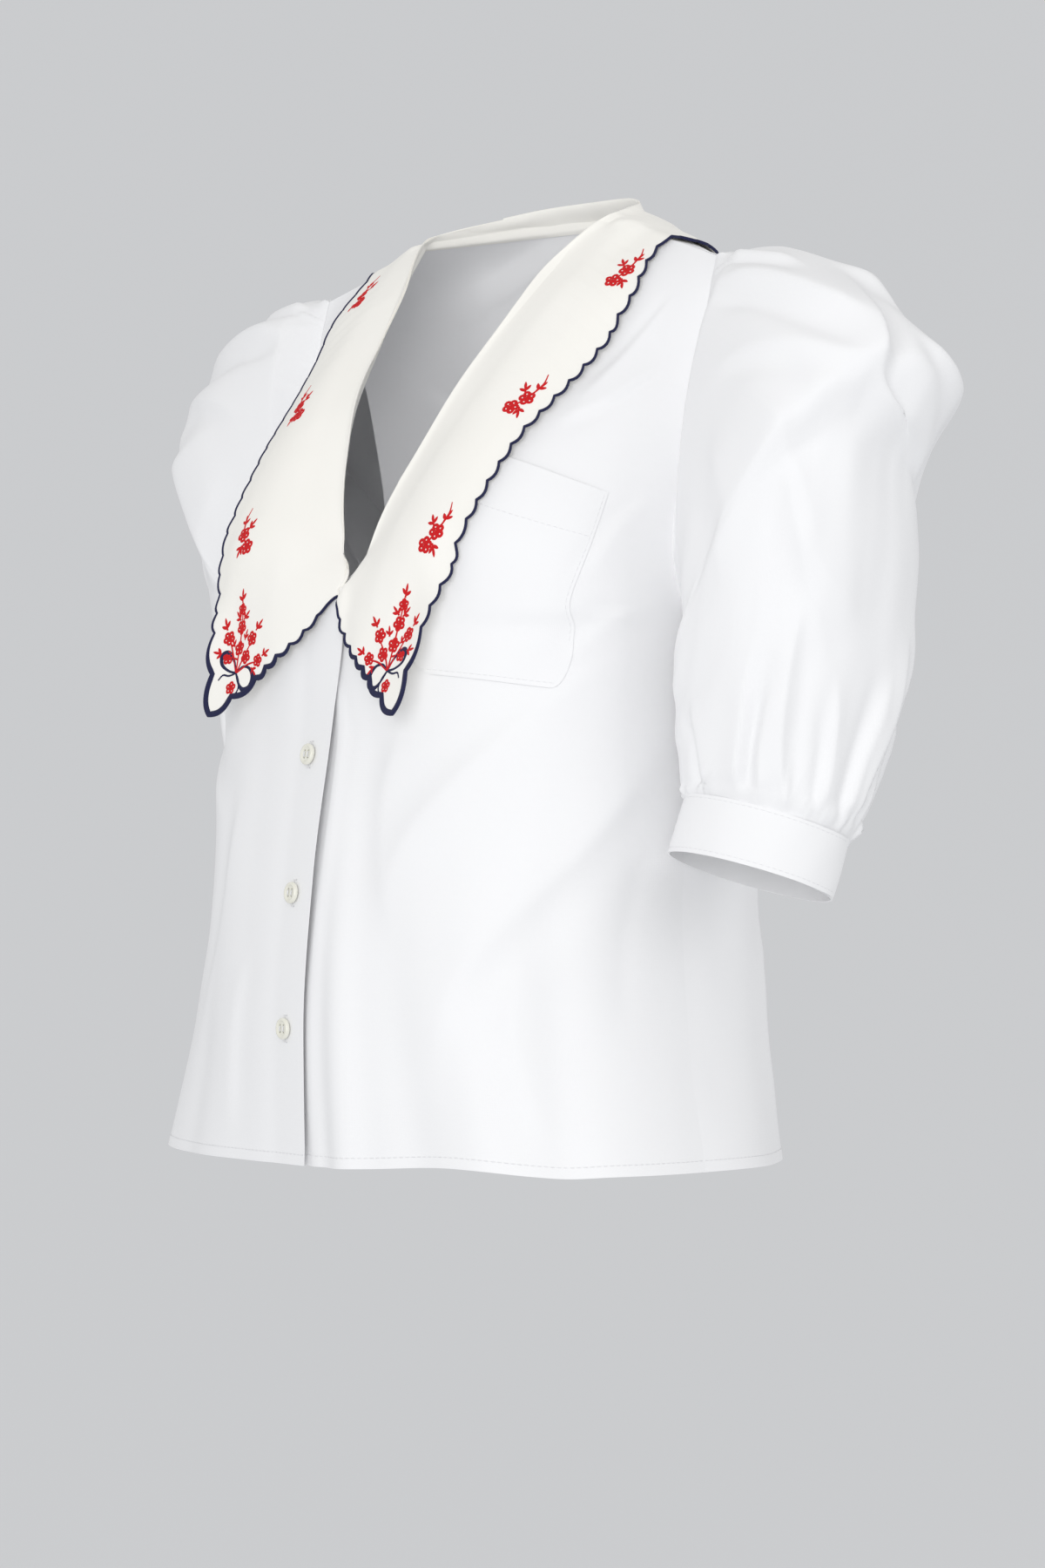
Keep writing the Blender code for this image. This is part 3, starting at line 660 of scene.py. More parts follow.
def pushOut(tree, point, clearance):
    for _ in range(3):
        near, normal, _, _ = tree.find_nearest(point)
        height = (point - near).dot(normal)
        beside = (point - near - normal * height).length
        if height >= clearance - 0.01 or beside > 2.0:
            return point
        point = near + normal * clearance
    return point


# Collar: a coarse net that stands off the panels, drawn as a smooth fine surface.
collar = {
    "thickness": 0.8,
    "columnsPerScallop": 6,
    "rowsPerStep": 10,
    "lobesPerStep": 2,
    "unevenness": 0.9,
    "farPoint": (7.0, -141.5, -217.0),
    "nearPoint": (6.0, -140.5, -220.0),
    "settle": 0.9,
    "wideLobes": 4,
    # rows and columns near the V point: the fall's front edge begins at the foot
    "footRow": 25,
    "endColumns": 54,
    "straightRows": 50,
    "smoothRows": 60,
    "standColumns": 30,
}


def collarSection(part):
    last = len(collarRows) - 1
    low = min(int(part), last - 1)
    t = part - low
    first = collarRows[1]
    before = collarRows[low - 1] if low > 0 else (
        -6.0 - first[0], -first[1], first[2], first[3], -first[4], *first[5:])
    start = collarRows[low]
    end = collarRows[low + 1]
    after = collarRows[low + 2] if low + 2 <= last else [2.0 * c - b for b, c in zip(start, end)]
    return [smoothCurve(a, b, c, d, t) for a, b, c, d in zip(before, start, end, after)]


def evenCollarPlaces(count):
    # places along the half collar that cut its outer edge into equal lengths
    fine = 600
    last = len(collarRows) - 1
    lengths = runLengths([Vector(collarSection(last * i / fine)[4:7]) for i in range(fine + 1)])
    places = []
    i = 0
    for k in range(count + 1):
        wanted = lengths[-1] * k / count
        while i < fine and lengths[i + 1] < wanted:
            i += 1
        span = lengths[min(i + 1, fine)] - lengths[i]
        part = (wanted - lengths[i]) / span if span > 0.0 else 0.0
        places.append(last * min(1.0, (i + min(part, 1.0)) / fine))
    return places


halfScallops = form["scallops"] // 2
evenPlaces = evenCollarPlaces(halfScallops)


def collarNetPoint(tree, part, row, side):
    # rows 0 to 2 are the stand, 3 the roll, 4 to 8 the fall
    values = collarSection(part)
    neck = values[0]
    rows, facing = (frontRows, -1) if neck >= 0.0 else (backRows, 1)
    plain = plainPoint(rows, 0.0, abs(neck))
    normal = outward(rows, 0.0, abs(neck), facing)
    if neck >= 0.0:
        seam = frontSpot(0.0, neck, side, fine=False)[0]
    else:
        seam = backSpot(0.0, -neck, side, fine=False)[0]
    seam.x *= side
    roll = Vector(values[1:4]) + (seam - plain)
    edge = Vector(values[4:7]) + (seam - plain) * 0.5
    lift = 0.8 if neck < 0.0 else 0.3 + 0.8 * smoothStep(neck - 3.5)
    if side < 0.0:
        lift += 1.4 * smoothStep((neck - 3.8) / 0.7)
    stand = form["wall"] + form["gap"] + lift
    seam = seam + normal * stand
    across = (edge - roll).normalized()
    shoulder = roll + across * 4.5 - normal
    fall = max(0.0, (row - 3) / 5.0)
    if row == 0:
        point = seam
    elif row == 1:
        point = seam.lerp(roll, 0.5) - across * 1.2
    elif row == 2:
        point = roll
    else:
        point = shoulder.lerp(edge, fall) + normal * (math.sin(math.pi * min(fall * 1.1, 1.0)) * 3.0)
        sag = form["frontEdgeSag"] * smoothStep(part - len(collarRows) + 2.6)
        point.z -= sag * math.sin(math.pi * fall ** 0.8)
    point = mirrored(point, side)
    if row <= 2:
        return pushOut(tree, point, stand)
    extra = 1.6 * bell(neck, 0.0, 0.7)
    extra += 2.0 * smoothStep(-neck) * (1.0 - smoothStep(fall * 2.0))
    extra += 2.4 * smoothStep(part - len(collarRows) + 2.5)
    if side < 0.0:
        extra += 2.0 * smoothStep(neck - 4.0)
    ramp = (form["collarClearance"] - 2.0) * smoothStep(fall * 2.0)
    return pushOut(tree, point, form["wall"] + 2.0 + ramp + extra)


def coarsePanels():
    # the panels as coarse as the CAD's, which the collar's clearances are measured from
    meshes = []
    for side in (-1.0, 1.0):
        for spot, last, columns, rows, flip in ((frontSpot, frontLast, 12, 18, side < 0),
                                                (backSpot, backLast, 9, 20, side > 0)):
            shape = gridMesh(columns, rows, lambda u, v: spot(
                u * 0.9965, 0.012 + (1.0 - v) * (last - 0.012), side, False)[0])
            if flip:
                bmesh.ops.reverse_faces(shape, faces=shape.faces)
            meshes.append((shape.verts, [[v.index for v in face.verts] for face in shape.faces], shape))
    tree = searchTree([mesh[:2] for mesh in meshes])
    for mesh in meshes:
        mesh[2].free()
    return tree


def collarNet():
    tree = coarsePanels()
    net = []
    for index in range(-halfScallops, halfScallops + 1):
        side = 1.0 if index >= 0 else -1.0
        net.append([collarNetPoint(tree, evenPlaces[abs(index)], row, side) for row in range(9)])
    return net


def fineCollar(net):
    # fine columns first, then fine rows; the last rows follow the scallops
    perStep = collar["rowsPerStep"]
    perScallop = collar["columnsPerScallop"]
    columns = form["scallops"] * perScallop
    tall = [[clampedCurve(column, r / perStep) for r in range(8 * perStep + 1)] for column in net]
    fine = []
    for c in range(columns + 1):
        near, place = nearColumns(c / perScallop)
        fine.append([clampedCurve([tall[i][r] for i in near], place) for r in range(8 * perStep + 1)])
    return fine


def nearColumns(place):
    # the net's columns on both sides of a place, and the place counted from the first of them
    last = form["scallops"]
    low = min(max(int(place), 0), last - 1)
    first = max(low - 1, 0)
    final = min(low + 2, last)
    return range(first, final + 1), place - first


def scallopFine(fine):
    # each lobe of the edge bulges outwards, and the cloth just inside follows it
    perStep = collar["rowsPerStep"]
    perScallop = collar["columnsPerScallop"]
    lastRow = len(fine[0]) - 1
    lastColumn = len(fine) - 1
    moved = [[point.copy() for point in column] for column in fine]
    for c, column in enumerate(fine):
        near = min(c, lastColumn - c)
        wide = near < collar["wideLobes"] * perScallop
        pitch = perScallop * (2 if wide else 1)
        t = (near % pitch) / pitch
        out = (column[lastRow] - column[lastRow - 2]).normalized()
        depth = form["tipScallopDepth"] if wide else form["scallopDepth"]
        for r in range(lastRow - 4, lastRow + 1):
            share = ((r - lastRow + 5) / 5.0) ** 2
            moved[c][r] = moved[c][r] + out * (4.0 * t * (1.0 - t) * depth * share)
    perLobe = perStep // collar["lobesPerStep"]
    for edge, inner in ((0, 1), (lastColumn, -1)):
        for r in range(3 * perStep, lastRow + 1):
            wide = lastRow - r < collar["wideLobes"] * perLobe
            pitch = perLobe * (2 if wide else 1)
            t = ((lastRow - r) % pitch) / pitch
            out = (fine[edge][r] - fine[edge + 3 * inner][r]).normalized()
            along = (fine[edge][min(r + 2, lastRow)] - fine[edge][r - 2]).normalized()
            out = (out - along * out.dot(along)).normalized()
            depth = form["scallopDepth"] * smoothStep((r - 3.0 * perStep) / perStep) * (1.4 if wide else 1.0)
            for k in range(4):
                share = ((4 - k) / 4.0) ** 2
                c = edge + k * inner
                moved[c][r] = moved[c][r] + out * (4.0 * t * (1.0 - t) * depth * share)
    return moved


def settleEnds(tree, fine):
    # at the V point the stand dwindles away, and the fall's front edge begins there
    foot = collar["footRow"]
    count, straight, smooth = collar["endColumns"], collar["straightRows"], collar["smoothRows"]
    last = len(fine) - 1
    lastRow = len(fine[0]) - 1
    for edge, inner, point in ((0, 1, collar["farPoint"]), (last, -1, collar["nearPoint"])):
        move = Vector(point) - fine[edge][foot]
        ends = [fine[edge + k * inner] for k in range(count)]
        for k, column in enumerate(ends):
            share = smoothStep(1.0 - k / count)
            for r in range(lastRow + 1):
                column[r] = column[r] + move * (share * (1.0 - smoothStep((r - foot) / straight)))
            for _ in range(40):
                held = [(column[r - 1] + column[r + 1]) * 0.5 for r in range(foot + 1, straight)]
                for r, spot in enumerate(held, foot + 1):
                    column[r] = column[r].lerp(spot, 0.5 * share)
            for r in range(foot, lastRow + 1):
                column[r] = pushOut(tree, column[r], 2.4 + 0.02 * (r - foot))
        for _ in range(12):
            for k in range(1, count - 2):
                for r in range(12, smooth):
                    around = ends[k - 1][r] + ends[k + 1][r] + ends[k][r - 1] + ends[k][r + 1]
                    ends[k][r] = ends[k][r].lerp(around * 0.25, 0.6 * smoothStep((smooth - r) / 20.0))
            for r in range(foot, smooth):
                ends[0][r] = ends[0][r].lerp((ends[0][r - 1] + ends[0][r + 1]) * 0.5, 0.5)
        for k, column in enumerate(ends):
            shrink = 0.96 * smoothStep(1.0 - k / collar["standColumns"])
            for r in range(foot):
                column[r] = column[r].lerp(column[foot], shrink)
    return fine


def settleBack(tree, fine):
    # the fall's outer part lies down on the back and the shoulders
    middle = (len(fine) - 1) // 2
    lastRow = len(fine[0]) - 1
    for c, column in enumerate(fine):
        part = evenPlaces[min(abs(c - middle) // collar["columnsPerScallop"], halfScallops)]
        share = collar["settle"] * (1.0 - smoothStep((part - 4.0) / 3.0))
        for r in range(3 * collar["rowsPerStep"] + 4, lastRow + 1):
            near = tree.find_nearest(column[r])[0]
            spare = (column[r] - near).length - 3.0
            if share > 0.0 and spare > 0.0:
                down = smoothStep((r / collar["rowsPerStep"] - 3.4) / 2.6)
                column[r] = column[r] + (near - column[r]).normalized() * (spare * share * down)
    return fine


def shapeCollar():
    tree = surfaceTree([frontRight, frontLeft, backPanel])
    fine = settleBack(tree, fineCollar(collarNet()))
    return scallopFine(settleEnds(tree, fine))


collarFine = shapeCollar()
collarColumns = len(collarFine) - 1
collarRowCount = len(collarFine[0]) - 1


def collarNormal(c, r):
    c0, c1 = max(c - 1, 0), min(c + 1, collarColumns)
    r0, r1 = max(r - 1, 0), min(r + 1, collarRowCount)
    acrossWay = collarFine[c1][r] - collarFine[c0][r]
    downWay = collarFine[c][r1] - collarFine[c][r0]
    return acrossWay.cross(downWay).normalized()


def rumpleCollar():
    # interlined cotton: a slight unevenness of the fall, none at the roll
    heights = []
    for c in range(collarColumns + 1):
        for r in range(4 * collar["rowsPerStep"], collarRowCount + 1):
            fade = smoothStep((r / collar["rowsPerStep"] - 4.0) / 1.5)
            wide = noise.noise(Vector((c * 0.035, r * 0.06, 2.0)))
            heights.append((c, r, collarNormal(c, r), collar["unevenness"] * fade * wide))
    for c, r, normal, height in heights:
        collarFine[c][r] = collarFine[c][r] + normal * height


rumpleCollar()


def collarSpot(u, v):
    return collarFine[round(u * collarColumns)][collarRowCount - round(v * collarRowCount)]


collarShape = gridMesh(collarColumns, collarRowCount, collarSpot, (960.0, 130.0))
# the collar's wall lies beneath its surface, so the embroidery sits on the surface itself
collarPiece = finishMesh("collarCloth", collarShape, ivoryCotton, flip=True, wall=collar["thickness"],
                         offset=-1.0)
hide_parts("collar")
collarTree = surfaceTree([collarPiece])
print("stage: collar")

# Neck binding: a bias strip that covers the neck seam from the panels' inside to the collar.
binding = {"depth": 8.0, "collarRow": 4, "rows": 9}


def makeBinding():
    def place(u, v):
        c = round(u * collarColumns)
        reach = abs(c / collar["columnsPerScallop"] - halfScallops)
        low = min(int(reach), halfScallops - 1)
        part = evenPlaces[low] + (evenPlaces[low + 1] - evenPlaces[low]) * (reach - low)
        neck = collarSection(part)[0]
        side = 1.0 if c >= collarColumns / 2 else -1.0
        spot = frontSpot if neck >= 0.0 else backSpot
        inner = spot(binding["depth"] / form["halfWidth"], abs(neck), side)[0]
        edge, normal = spot(0.0, abs(neck), side)
        cloth = collarFine[c][binding["collarRow"]]
        inside = [inner - normal * 0.2, edge.lerp(inner, 0.25) - normal * 0.3, edge.lerp(cloth, 0.3), cloth]
        return clampedCurve(inside, 3.0 * v)

    shape = gridMesh(collarColumns, binding["rows"], place, (860.0, 14.0))
    piece = finishMesh("neckBinding", shape, ivoryCotton)
    return piece


bindingPiece = makeBinding()
print("stage: neck binding")

# Sleeves: puffed, gathered into the armhole and into the cuff.
sleeve = {
    "thickness": 0.5,
    "columns": 280,
    "rows": 150,
    "unevenness": 2.0,
    "round": 480.0,
    "long": 300.0,
    "straightFrom": 2.4,
    "straightTo": 8.2,
    # where the puff is shaped, each as a turn and how far it reaches round
    "outer": (-0.14, 0.11),
    "behind": (-0.225, 0.085),
    "dent": (-0.215, 0.065),
    # seam gathers: how many, first and last turn, seed, length in mm, width in mm, height in mm
    "headGathers": ((24, -0.24, 0.20, 11.0, 18.0, 3.8, 2.2), (9, 0.20, 0.40, 17.0, 12.0, 3.6, 1.3),
                    (9, -0.42, -0.24, 23.0, 14.0, 3.6, 1.4)),
    "cuffGathers": ((30, -0.26, 0.08, 31.0, 17.0, 2.9, 2.3), (11, 0.08, 0.40, 37.0, 32.0, 4.6, 2.0),
                    (16, 0.40, 0.74, 43.0, 20.0, 3.6, 1.9)),
    # points (round, down) of each fold's line, 480 mm a turn and 300 mm down, width, height, trough
    "creases": (
        (((54, 18), (45, 44), (34, 66), (21, 84), (4, 98)), 9, 7.0, 0.7),
        (((-8, 62), (5, 88), (13, 106), (13, 124), (0, 143), (-20, 156), (-38, 166)), 8, 7.5, -0.7),
        (((-2, 16), (-12, 44), (-23, 68), (-32, 98)), 8, 5.5, -0.6),
        (((24, 14), (20, 38), (10, 62)), 6, 3.4, 0.6),
        (((94, 50), (52, 88), (12, 112)), 6, 2.6, 0.7),
        (((90, 66), (76, 120), (56, 165), (34, 200)), 14, 4.2, -0.6),
        (((70, 150), (48, 196), (20, 236)), 12, 3.0, 0.5),
        (((-12, 92), (-38, 116), (-66, 130)), 7, 3.8, 0.6),
        (((-8, 58), (-38, 78), (-74, 92)), 8, 4.4, 0.6),
        (((112, 60), (118, 120), (108, 195)), 15, 3.4, 0.5),
        (((-40, 298), (-46, 268), (-60, 238), (-66, 205)), 9, 5.5, 0.7),
        (((-22, 298), (-26, 275), (-42, 246), (-50, 215)), 7, 4.5, 0.7),
        (((-8, 299), (-16, 268), (-34, 232)), 6, 3.6, -0.6),
        (((16, 299), (10, 272), (14, 236)), 7, 3.2, -0.6),
        (((96, 298), (92, 262), (84, 210)), 8, 3.8, 0.6),
        (((122, 299), (126, 262), (136, 214)), 8, 3.6, -0.6),
        (((50, 298), (56, 250), (44, 200)), 10, 3.6, 0.5),
        (((72, 299), (74, 268), (66, 232)), 7, 2.8, -0.6),
        (((62, 178), (30, 205), (-6, 222)), 10, 2.8, 0.6),
        (((-100, 30), (-108, 70), (-98, 112)), 8, 4.4, 0.6),
        (((-150, 40), (-138, 82), (-118, 118), (-92, 140)), 8, 4.2, -0.6),
        (((-124, 130), (-110, 175), (-120, 225)), 12, 3.8, 0.5),
        (((-176, 120), (-160, 170), (-164, 226)), 11, 3.4, -0.5),
        (((-130, 299), (-136, 262), (-122, 222)), 8, 3.8, 0.6),
        (((-86, 298), (-84, 264), (-92, 232)), 7, 3.8, -0.6),
        (((-200, 298), (-204, 260), (-196, 220)), 8, 3.4, 0.6),
        (((160, 110), (172, 160), (168, 214)), 11, 3.0, 0.5),
        (((205, 130), (212, 180), (204, 240)), 11, 2.8, -0.5),
    ),
}
sleeveCreases = layCreases(sleeve["creases"])


def armholeRow(part, rows, bottom):
    topZ = rows[0][9]
    wanted = topZ + (rows[bottom][9] - topZ) * (0.5 - 0.5 * math.cos(math.pi * part))
    low, high = 0.0, float(bottom)
    for _ in range(30):
        middle = 0.5 * (low + high)
        if rowAt(rows, middle)[9] > wanted:
            low = middle
        else:
            high = middle
    return 0.5 * (low + high)


def armholeSpot(turn):
    turn = turn % 1.0
    if turn <= 0.5:
        rows, facing, row = frontRows, -1, armholeRow(turn * 2.0, frontRows, 7)
    else:
        rows, facing, row = backRows, 1, armholeRow((1.0 - turn) * 2.0, backRows, 8)
    return plainPoint(rows, 1.0, row), outward(rows, 1.0, row, facing)


def ringAxes(values):
    lean = math.radians(values[0])
    tilt = math.radians(values[1])
    return Vector((math.sin(lean), 0.0, math.cos(lean))), Vector((0.0, -math.cos(tilt), math.sin(tilt)))


def ringPoint(values, turn):
    x, y, z, top, bottom, front, back = values[2:]
    up, forward = ringAxes(values)
    angle = 2.0 * math.pi * turn
    power = 2.0 / form["sleeveFullness"]
    rise = math.copysign(abs(math.cos(angle)) ** power, math.cos(angle))
    reach = math.copysign(abs(math.sin(angle)) ** power, math.sin(angle))
    point = Vector((x, y, z)) + up * rise * (top if rise > 0.0 else bottom)
    return point + forward * reach * (front if reach > 0.0 else back)


def gatherList(sets):
    # uneven gathers along a seam: turn, half width, height, length and slant of each
    found = []
    for count, first, last, seed, length, width, height in sets:
        for i in range(count):
            a = noise.cell(Vector((i * 1.7 + seed, 3.1, 0.5)))
            b = noise.cell(Vector((i * 2.3 + seed, 9.7, 4.5)))
            c = noise.cell(Vector((i * 3.1 + seed, 5.3, 8.5)))
            d = noise.cell(Vector((i * 4.7 + seed, 1.3, 2.5)))
            turn = first + (last - first) * (i + 0.15 + 0.7 * a) / count
            found.append((turn, width * (0.75 + 0.5 * b) / sleeve["round"], height * (0.55 + 0.9 * c),
                          length * (0.5 + 1.3 * d * d), (b - 0.5) * 0.5))
    return found


def gatherHeight(gathers, turn, depth):
    # depth is how far from the seam in millimetres; each gather widens and dies away there
    total = 0.0
    for place, width, height, length, slant in gathers:
        if depth < length:
            off = turn - place - slant * depth / sleeve["round"]
            off -= round(off)
            part = depth / length
            wide = width * (1.0 + 0.8 * part)
            if abs(off) < 3.0 * wide:
                total += height * math.exp(-((abs(off) / wide) ** 1.6)) * (1.0 - smoothStep(part))
    return total


headGathers = gatherList(sleeve["headGathers"])
cuffGathers = gatherList(sleeve["cuffGathers"])
armholeRing = [armholeSpot(i / sleeve["columns"]) for i in range(sleeve["columns"] + 1)]


def puffSpot(place, turn):
    # the puff droops over itself at the outer back; in front the cloth falls straight from it
    values = rowAt(sleeveRows, place)
    centre = Vector(values[2:5])
    point = ringPoint(values, turn)
    half = turn - round(turn)
    top, low = sleeve["straightFrom"], sleeve["straightTo"]
    if top < place < low:
        share = smoothStep((half + 0.035) / 0.08) * (0.6 + 0.4 * smoothStep((0.5 - half) / 0.2))
        share += 0.6 * smoothStep((-0.22 - half) / 0.1)
        high = ringPoint(rowAt(sleeveRows, top), turn)
        deep = ringPoint(rowAt(sleeveRows, low), turn)
        part = min(max((high.z - point.z) / max(high.z - deep.z, 20.0), 0.0), 1.0)
        sway = high.lerp(deep, part) - point
        out = point - centre
        out.z = sway.z = 0.0
        out.normalize()
        ease = smoothStep(part / 0.3) * smoothStep((1.0 - part) / 0.3)
        point = point + (sway + out * 2.0) * (ease * share)
    outer, behind, dent = (bell(half, *sleeve[key]) for key in ("outer", "behind", "dent"))
    out = (point - centre).normalized()
    fill = 5.0 * smoothStep((place - 4.7) / 0.7) * smoothStep((9.4 - place) / 2.6)
    fill -= 7.0 * bell(place, 4.1, 0.5)
    point.z += 8.0 * outer * bell(place, 3.5, 0.8)
    point.z += 14.0 * behind * bell(place, 3.7, 0.9)
    point = point - Vector((8.5, 9.1, 0.0)) * (dent * bell(place, 3.0, 1.4))
    fill = outer * fill - 13.0 * behind * bell(place, 4.4, 0.8)
    return point + out * fill


def cuffFrame():
    values = sleeveRows[-1]
    up, forward = ringAxes(values)
    axis = up.cross(forward).normalized()
    if axis.z > 0.0:
        axis = -axis
    return Vector(values[2:5]) - axis * 0.6, up, forward, axis


cuffAxis = cuffFrame()[3]


def sleeveSpot(turn, down):
    place = down * len(sleeveRows)
    start, normal = armholeRing[round(turn * sleeve["columns"])]
    start = start + normal * 1.0
    if place < 1.0:
        raised = start + normal * 1.4
        first = ringPoint(rowAt(sleeveRows, 0.0), turn)
        point = raised.lerp(first, place)
        point = start.lerp(point, smoothStep(place * 5.0))
    else:
        point = puffSpot(place - 1.0, turn)
    values = rowAt(sleeveRows, place - 1.0)
    out = (ringPoint(values, turn) - Vector(values[2:5])).normalized()
    a = turn * sleeve["round"]
    b = down * sleeve["long"]
    lift = smoothStep(place * 5.0) * gatherHeight(headGathers, turn, b * 0.8)
    lift += smoothStep((10.97 - place) * 4.0) * (gatherHeight(cuffGathers, turn, sleeve["long"] - b) - 0.3)
    calm = smoothStep(place * 1.2) * smoothStep((11.0 - place) * 1.6)
    lift += calm * (creaseHeight(sleeveCreases, a, b) + creaseHeight(sleeveCreases, a - sleeve["round"], b))
    angle = 2.0 * math.pi * turn
    wide = noise.noise(Vector((math.cos(angle) * 1.6, math.sin(angle) * 1.6, down * 4.0)))
    middle = noise.noise(Vector((math.cos(angle) * 4.5, math.sin(angle) * 4.5, down * 9.0 + 5.0)))
    lift += calm * sleeve["unevenness"] * (wide + 0.35 * middle)
    tuck = smoothStep((place - 10.72) / 0.2)
    return point + out * (lift - 2.2 * tuck) + cuffAxis * (1.3 * tuck)


def makeSleeve(name, side, node):
    shift = Vector(form["rightCuffShift"])

    def place(u, v):
        point = sleeveSpot(u, 1.0 - v)
        if side < 0:
            point = point + shift * smoothStep(1.15 * (1.0 - v) - 0.05)
        return mirrored(point, side)

    size = (sleeve["round"], sleeve["long"])
    shape = gridMesh(sleeve["columns"], sleeve["rows"], place, size, closed=True)
    piece = finishMesh(name, shape, poplin, flip=side > 0, wall=sleeve["thickness"])
    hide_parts(node)
    return piece


sleeveLeft = makeSleeve("sleeveLeft", 1.0, "sleeve_left")
sleeveRight = makeSleeve("sleeveRight", -1.0, "sleeve_right")
print("stage: sleeves")

# Cuffs: narrow bands whose outer end laps over the inner one.
cuff = {"thickness": 1.0, "edgeStitch": 1.6, "seamStitch": 1.8, "round": 300.0,
        # the stitch lines' first place and run round the band, and the buttonhole's place and length
        "stitches": (0.33, 0.66), "hole": (9.5, 17.0, 13.0)}


def cuffSpot(u, down, side):
    # u runs round the band, down is millimetres from its seam
    centre, up, forward, axis = cuffFrame()
    angle = math.radians(form["cuffLapEnd"]) + math.radians(360.0 + form["cuffLapDegrees"]) * (1.0 - u)
    radius = form["cuffRadius"] - 2.0 + 1.9 * smoothStep(u * 2.4 - 0.7)
    swell = 0.5 * noise.noise(Vector((math.cos(angle) * 3.0, math.sin(angle) * 3.0, down * 0.05)))
    swell += 0.35 * math.sin(math.pi * min(max(down / form["cuffDepth"], 0.0), 1.0))
    out = up * math.cos(angle) + forward * math.sin(angle)
    point = centre + out * (radius + swell) + axis * down
    if side < 0:
        point = point + Vector(form["rightCuffShift"])
    return mirrored(point, side), mirrored(out, side)


def makeCuff(name, side, node):
    depth = form["cuffDepth"] + 0.8
    shape = gridMesh(200, 16, lambda u, v: cuffSpot(u, depth * (1.0 - v), side)[0], (cuff["round"], 32.0))
    piece = finishMesh(name, shape, poplin, flip=side < 0, wall=cuff["thickness"])
    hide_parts(node)
    return piece


cuffLeft = makeCuff("cuffLeft", 1.0, "cuff_left")
cuffRight = makeCuff("cuffRight", -1.0, "cuff_right")
print("stage: cuffs")

# Pocket: a patch sewn on three sides, its lower corners rounded, its mouth hemmed.
pocket = {"thickness": 0.5, "lift": 1.25, "cornerRound": 0.13, "mouthHem": 24.0, "edge": 1.6,
          "wide": 85.0, "deep": 125.0}


def pocketSpot(u, down):
    corners = [Vector(corner) for corner in pocketCorners]
    drop = max(0.0, down - (1.0 - pocket["cornerRound"])) / pocket["cornerRound"]
    inset = pocket["cornerRound"] * (1.0 - math.sqrt(max(0.0, 1.0 - drop * drop)))
    across = inset + u * (1.0 - 2.0 * inset)
    where = corners[0].lerp(corners[1], across).lerp(corners[3].lerp(corners[2], across), down)
    point, normal = frontSpot(where.x, where.y, 1.0)
    edge = min(u, 1.0 - u, 1.0 - down) * pocket["wide"]
    rise = pocket["lift"] + 0.6 * smoothStep(edge / 12.0)
    rise += 0.9 * smoothStep((0.18 - down) / 0.18) * math.sin(math.pi * u) ** 2
    return point + normal * rise, normal


def makePocket():
    def place(u, v):
        down = 1.0 - v
        if v < 0.35:
            down = 1.0 - 0.35 * (v / 0.35) ** 1.6
        return pocketSpot(u, down)[0]

    shape = gridMesh(60, 90, place, (90.0, pocket["deep"]))
    piece = finishMesh("patchPocket", shape, poplin, wall=pocket["thickness"])
    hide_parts("pocket")
    return piece


pocketPiece = makePocket()
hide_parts("front_right")
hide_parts("front_left")
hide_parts("back")
print("stage: pocket")

# Thread work: raised satin strokes laid on the cloth.


def addStroke(shape, layer, spots, widths, height):
    # a low rounded ribbon along a line of points and normals; widths taper it
    points = [spot[0] for spot in spots]
    columns = len(points) - 1
    made = bmesh.ops.create_grid(shape, x_segments=columns, y_segments=4, size=0.5)["verts"]
    lengths = runLengths(points)
    cloth = {}
    for vertex in made:
        i = round((vertex.co.x + 0.5) * columns)
        v = vertex.co.y
        normal = spots[i][1]
        along = points[min(i + 1, columns)] - points[max(i - 1, 0)]
        side = normal.cross(along).normalized()
        rise = height * (1.0 - (2.0 * v) ** 2) * min(1.0, widths[i] / max(widths))
        cloth[vertex] = (lengths[i] * mm, v * widths[i] * mm)
        vertex.co = (points[i] + side * (v * widths[i]) + normal * rise) * mm
    for face in set(face for vertex in made for face in vertex.link_faces):
        for loop in face.loops:
            loop[layer].uv = cloth[loop.vert]


def newThreadMesh():
    shape = bmesh.new()
    return shape, shape.loops.layers.uv.new("cloth")


stitch = {"start": 0.5, "length": 2.6, "gap": 1.0, "width": 0.4, "height": 0.2}


def stitchRun(shape, layer, line):
    # running stitches along a line of close points, each with its normal
    lengths = runLengths([spot[0] for spot in line])

    def at(where):
        low = min(max(bisect_right(lengths, where) - 1, 0), len(lengths) - 2)
        span = max(lengths[low + 1] - lengths[low], 1e-9)
        t = min(max((where - lengths[low]) / span, 0.0), 1.0)
        return line[low][0].lerp(line[low + 1][0], t), line[low][1].lerp(line[low + 1][1], t).normalized()

    start = stitch["start"]
    widths = [share * stitch["width"] for share in (0.5, 1.0, 1.0, 0.5)]
    while start + stitch["length"] < lengths[-1]:
        spots = [at(start + stitch["length"] * k / 3.0) for k in range(4)]
        addStroke(shape, layer, spots, widths, stitch["height"])
        start += stitch["length"] + stitch["gap"]


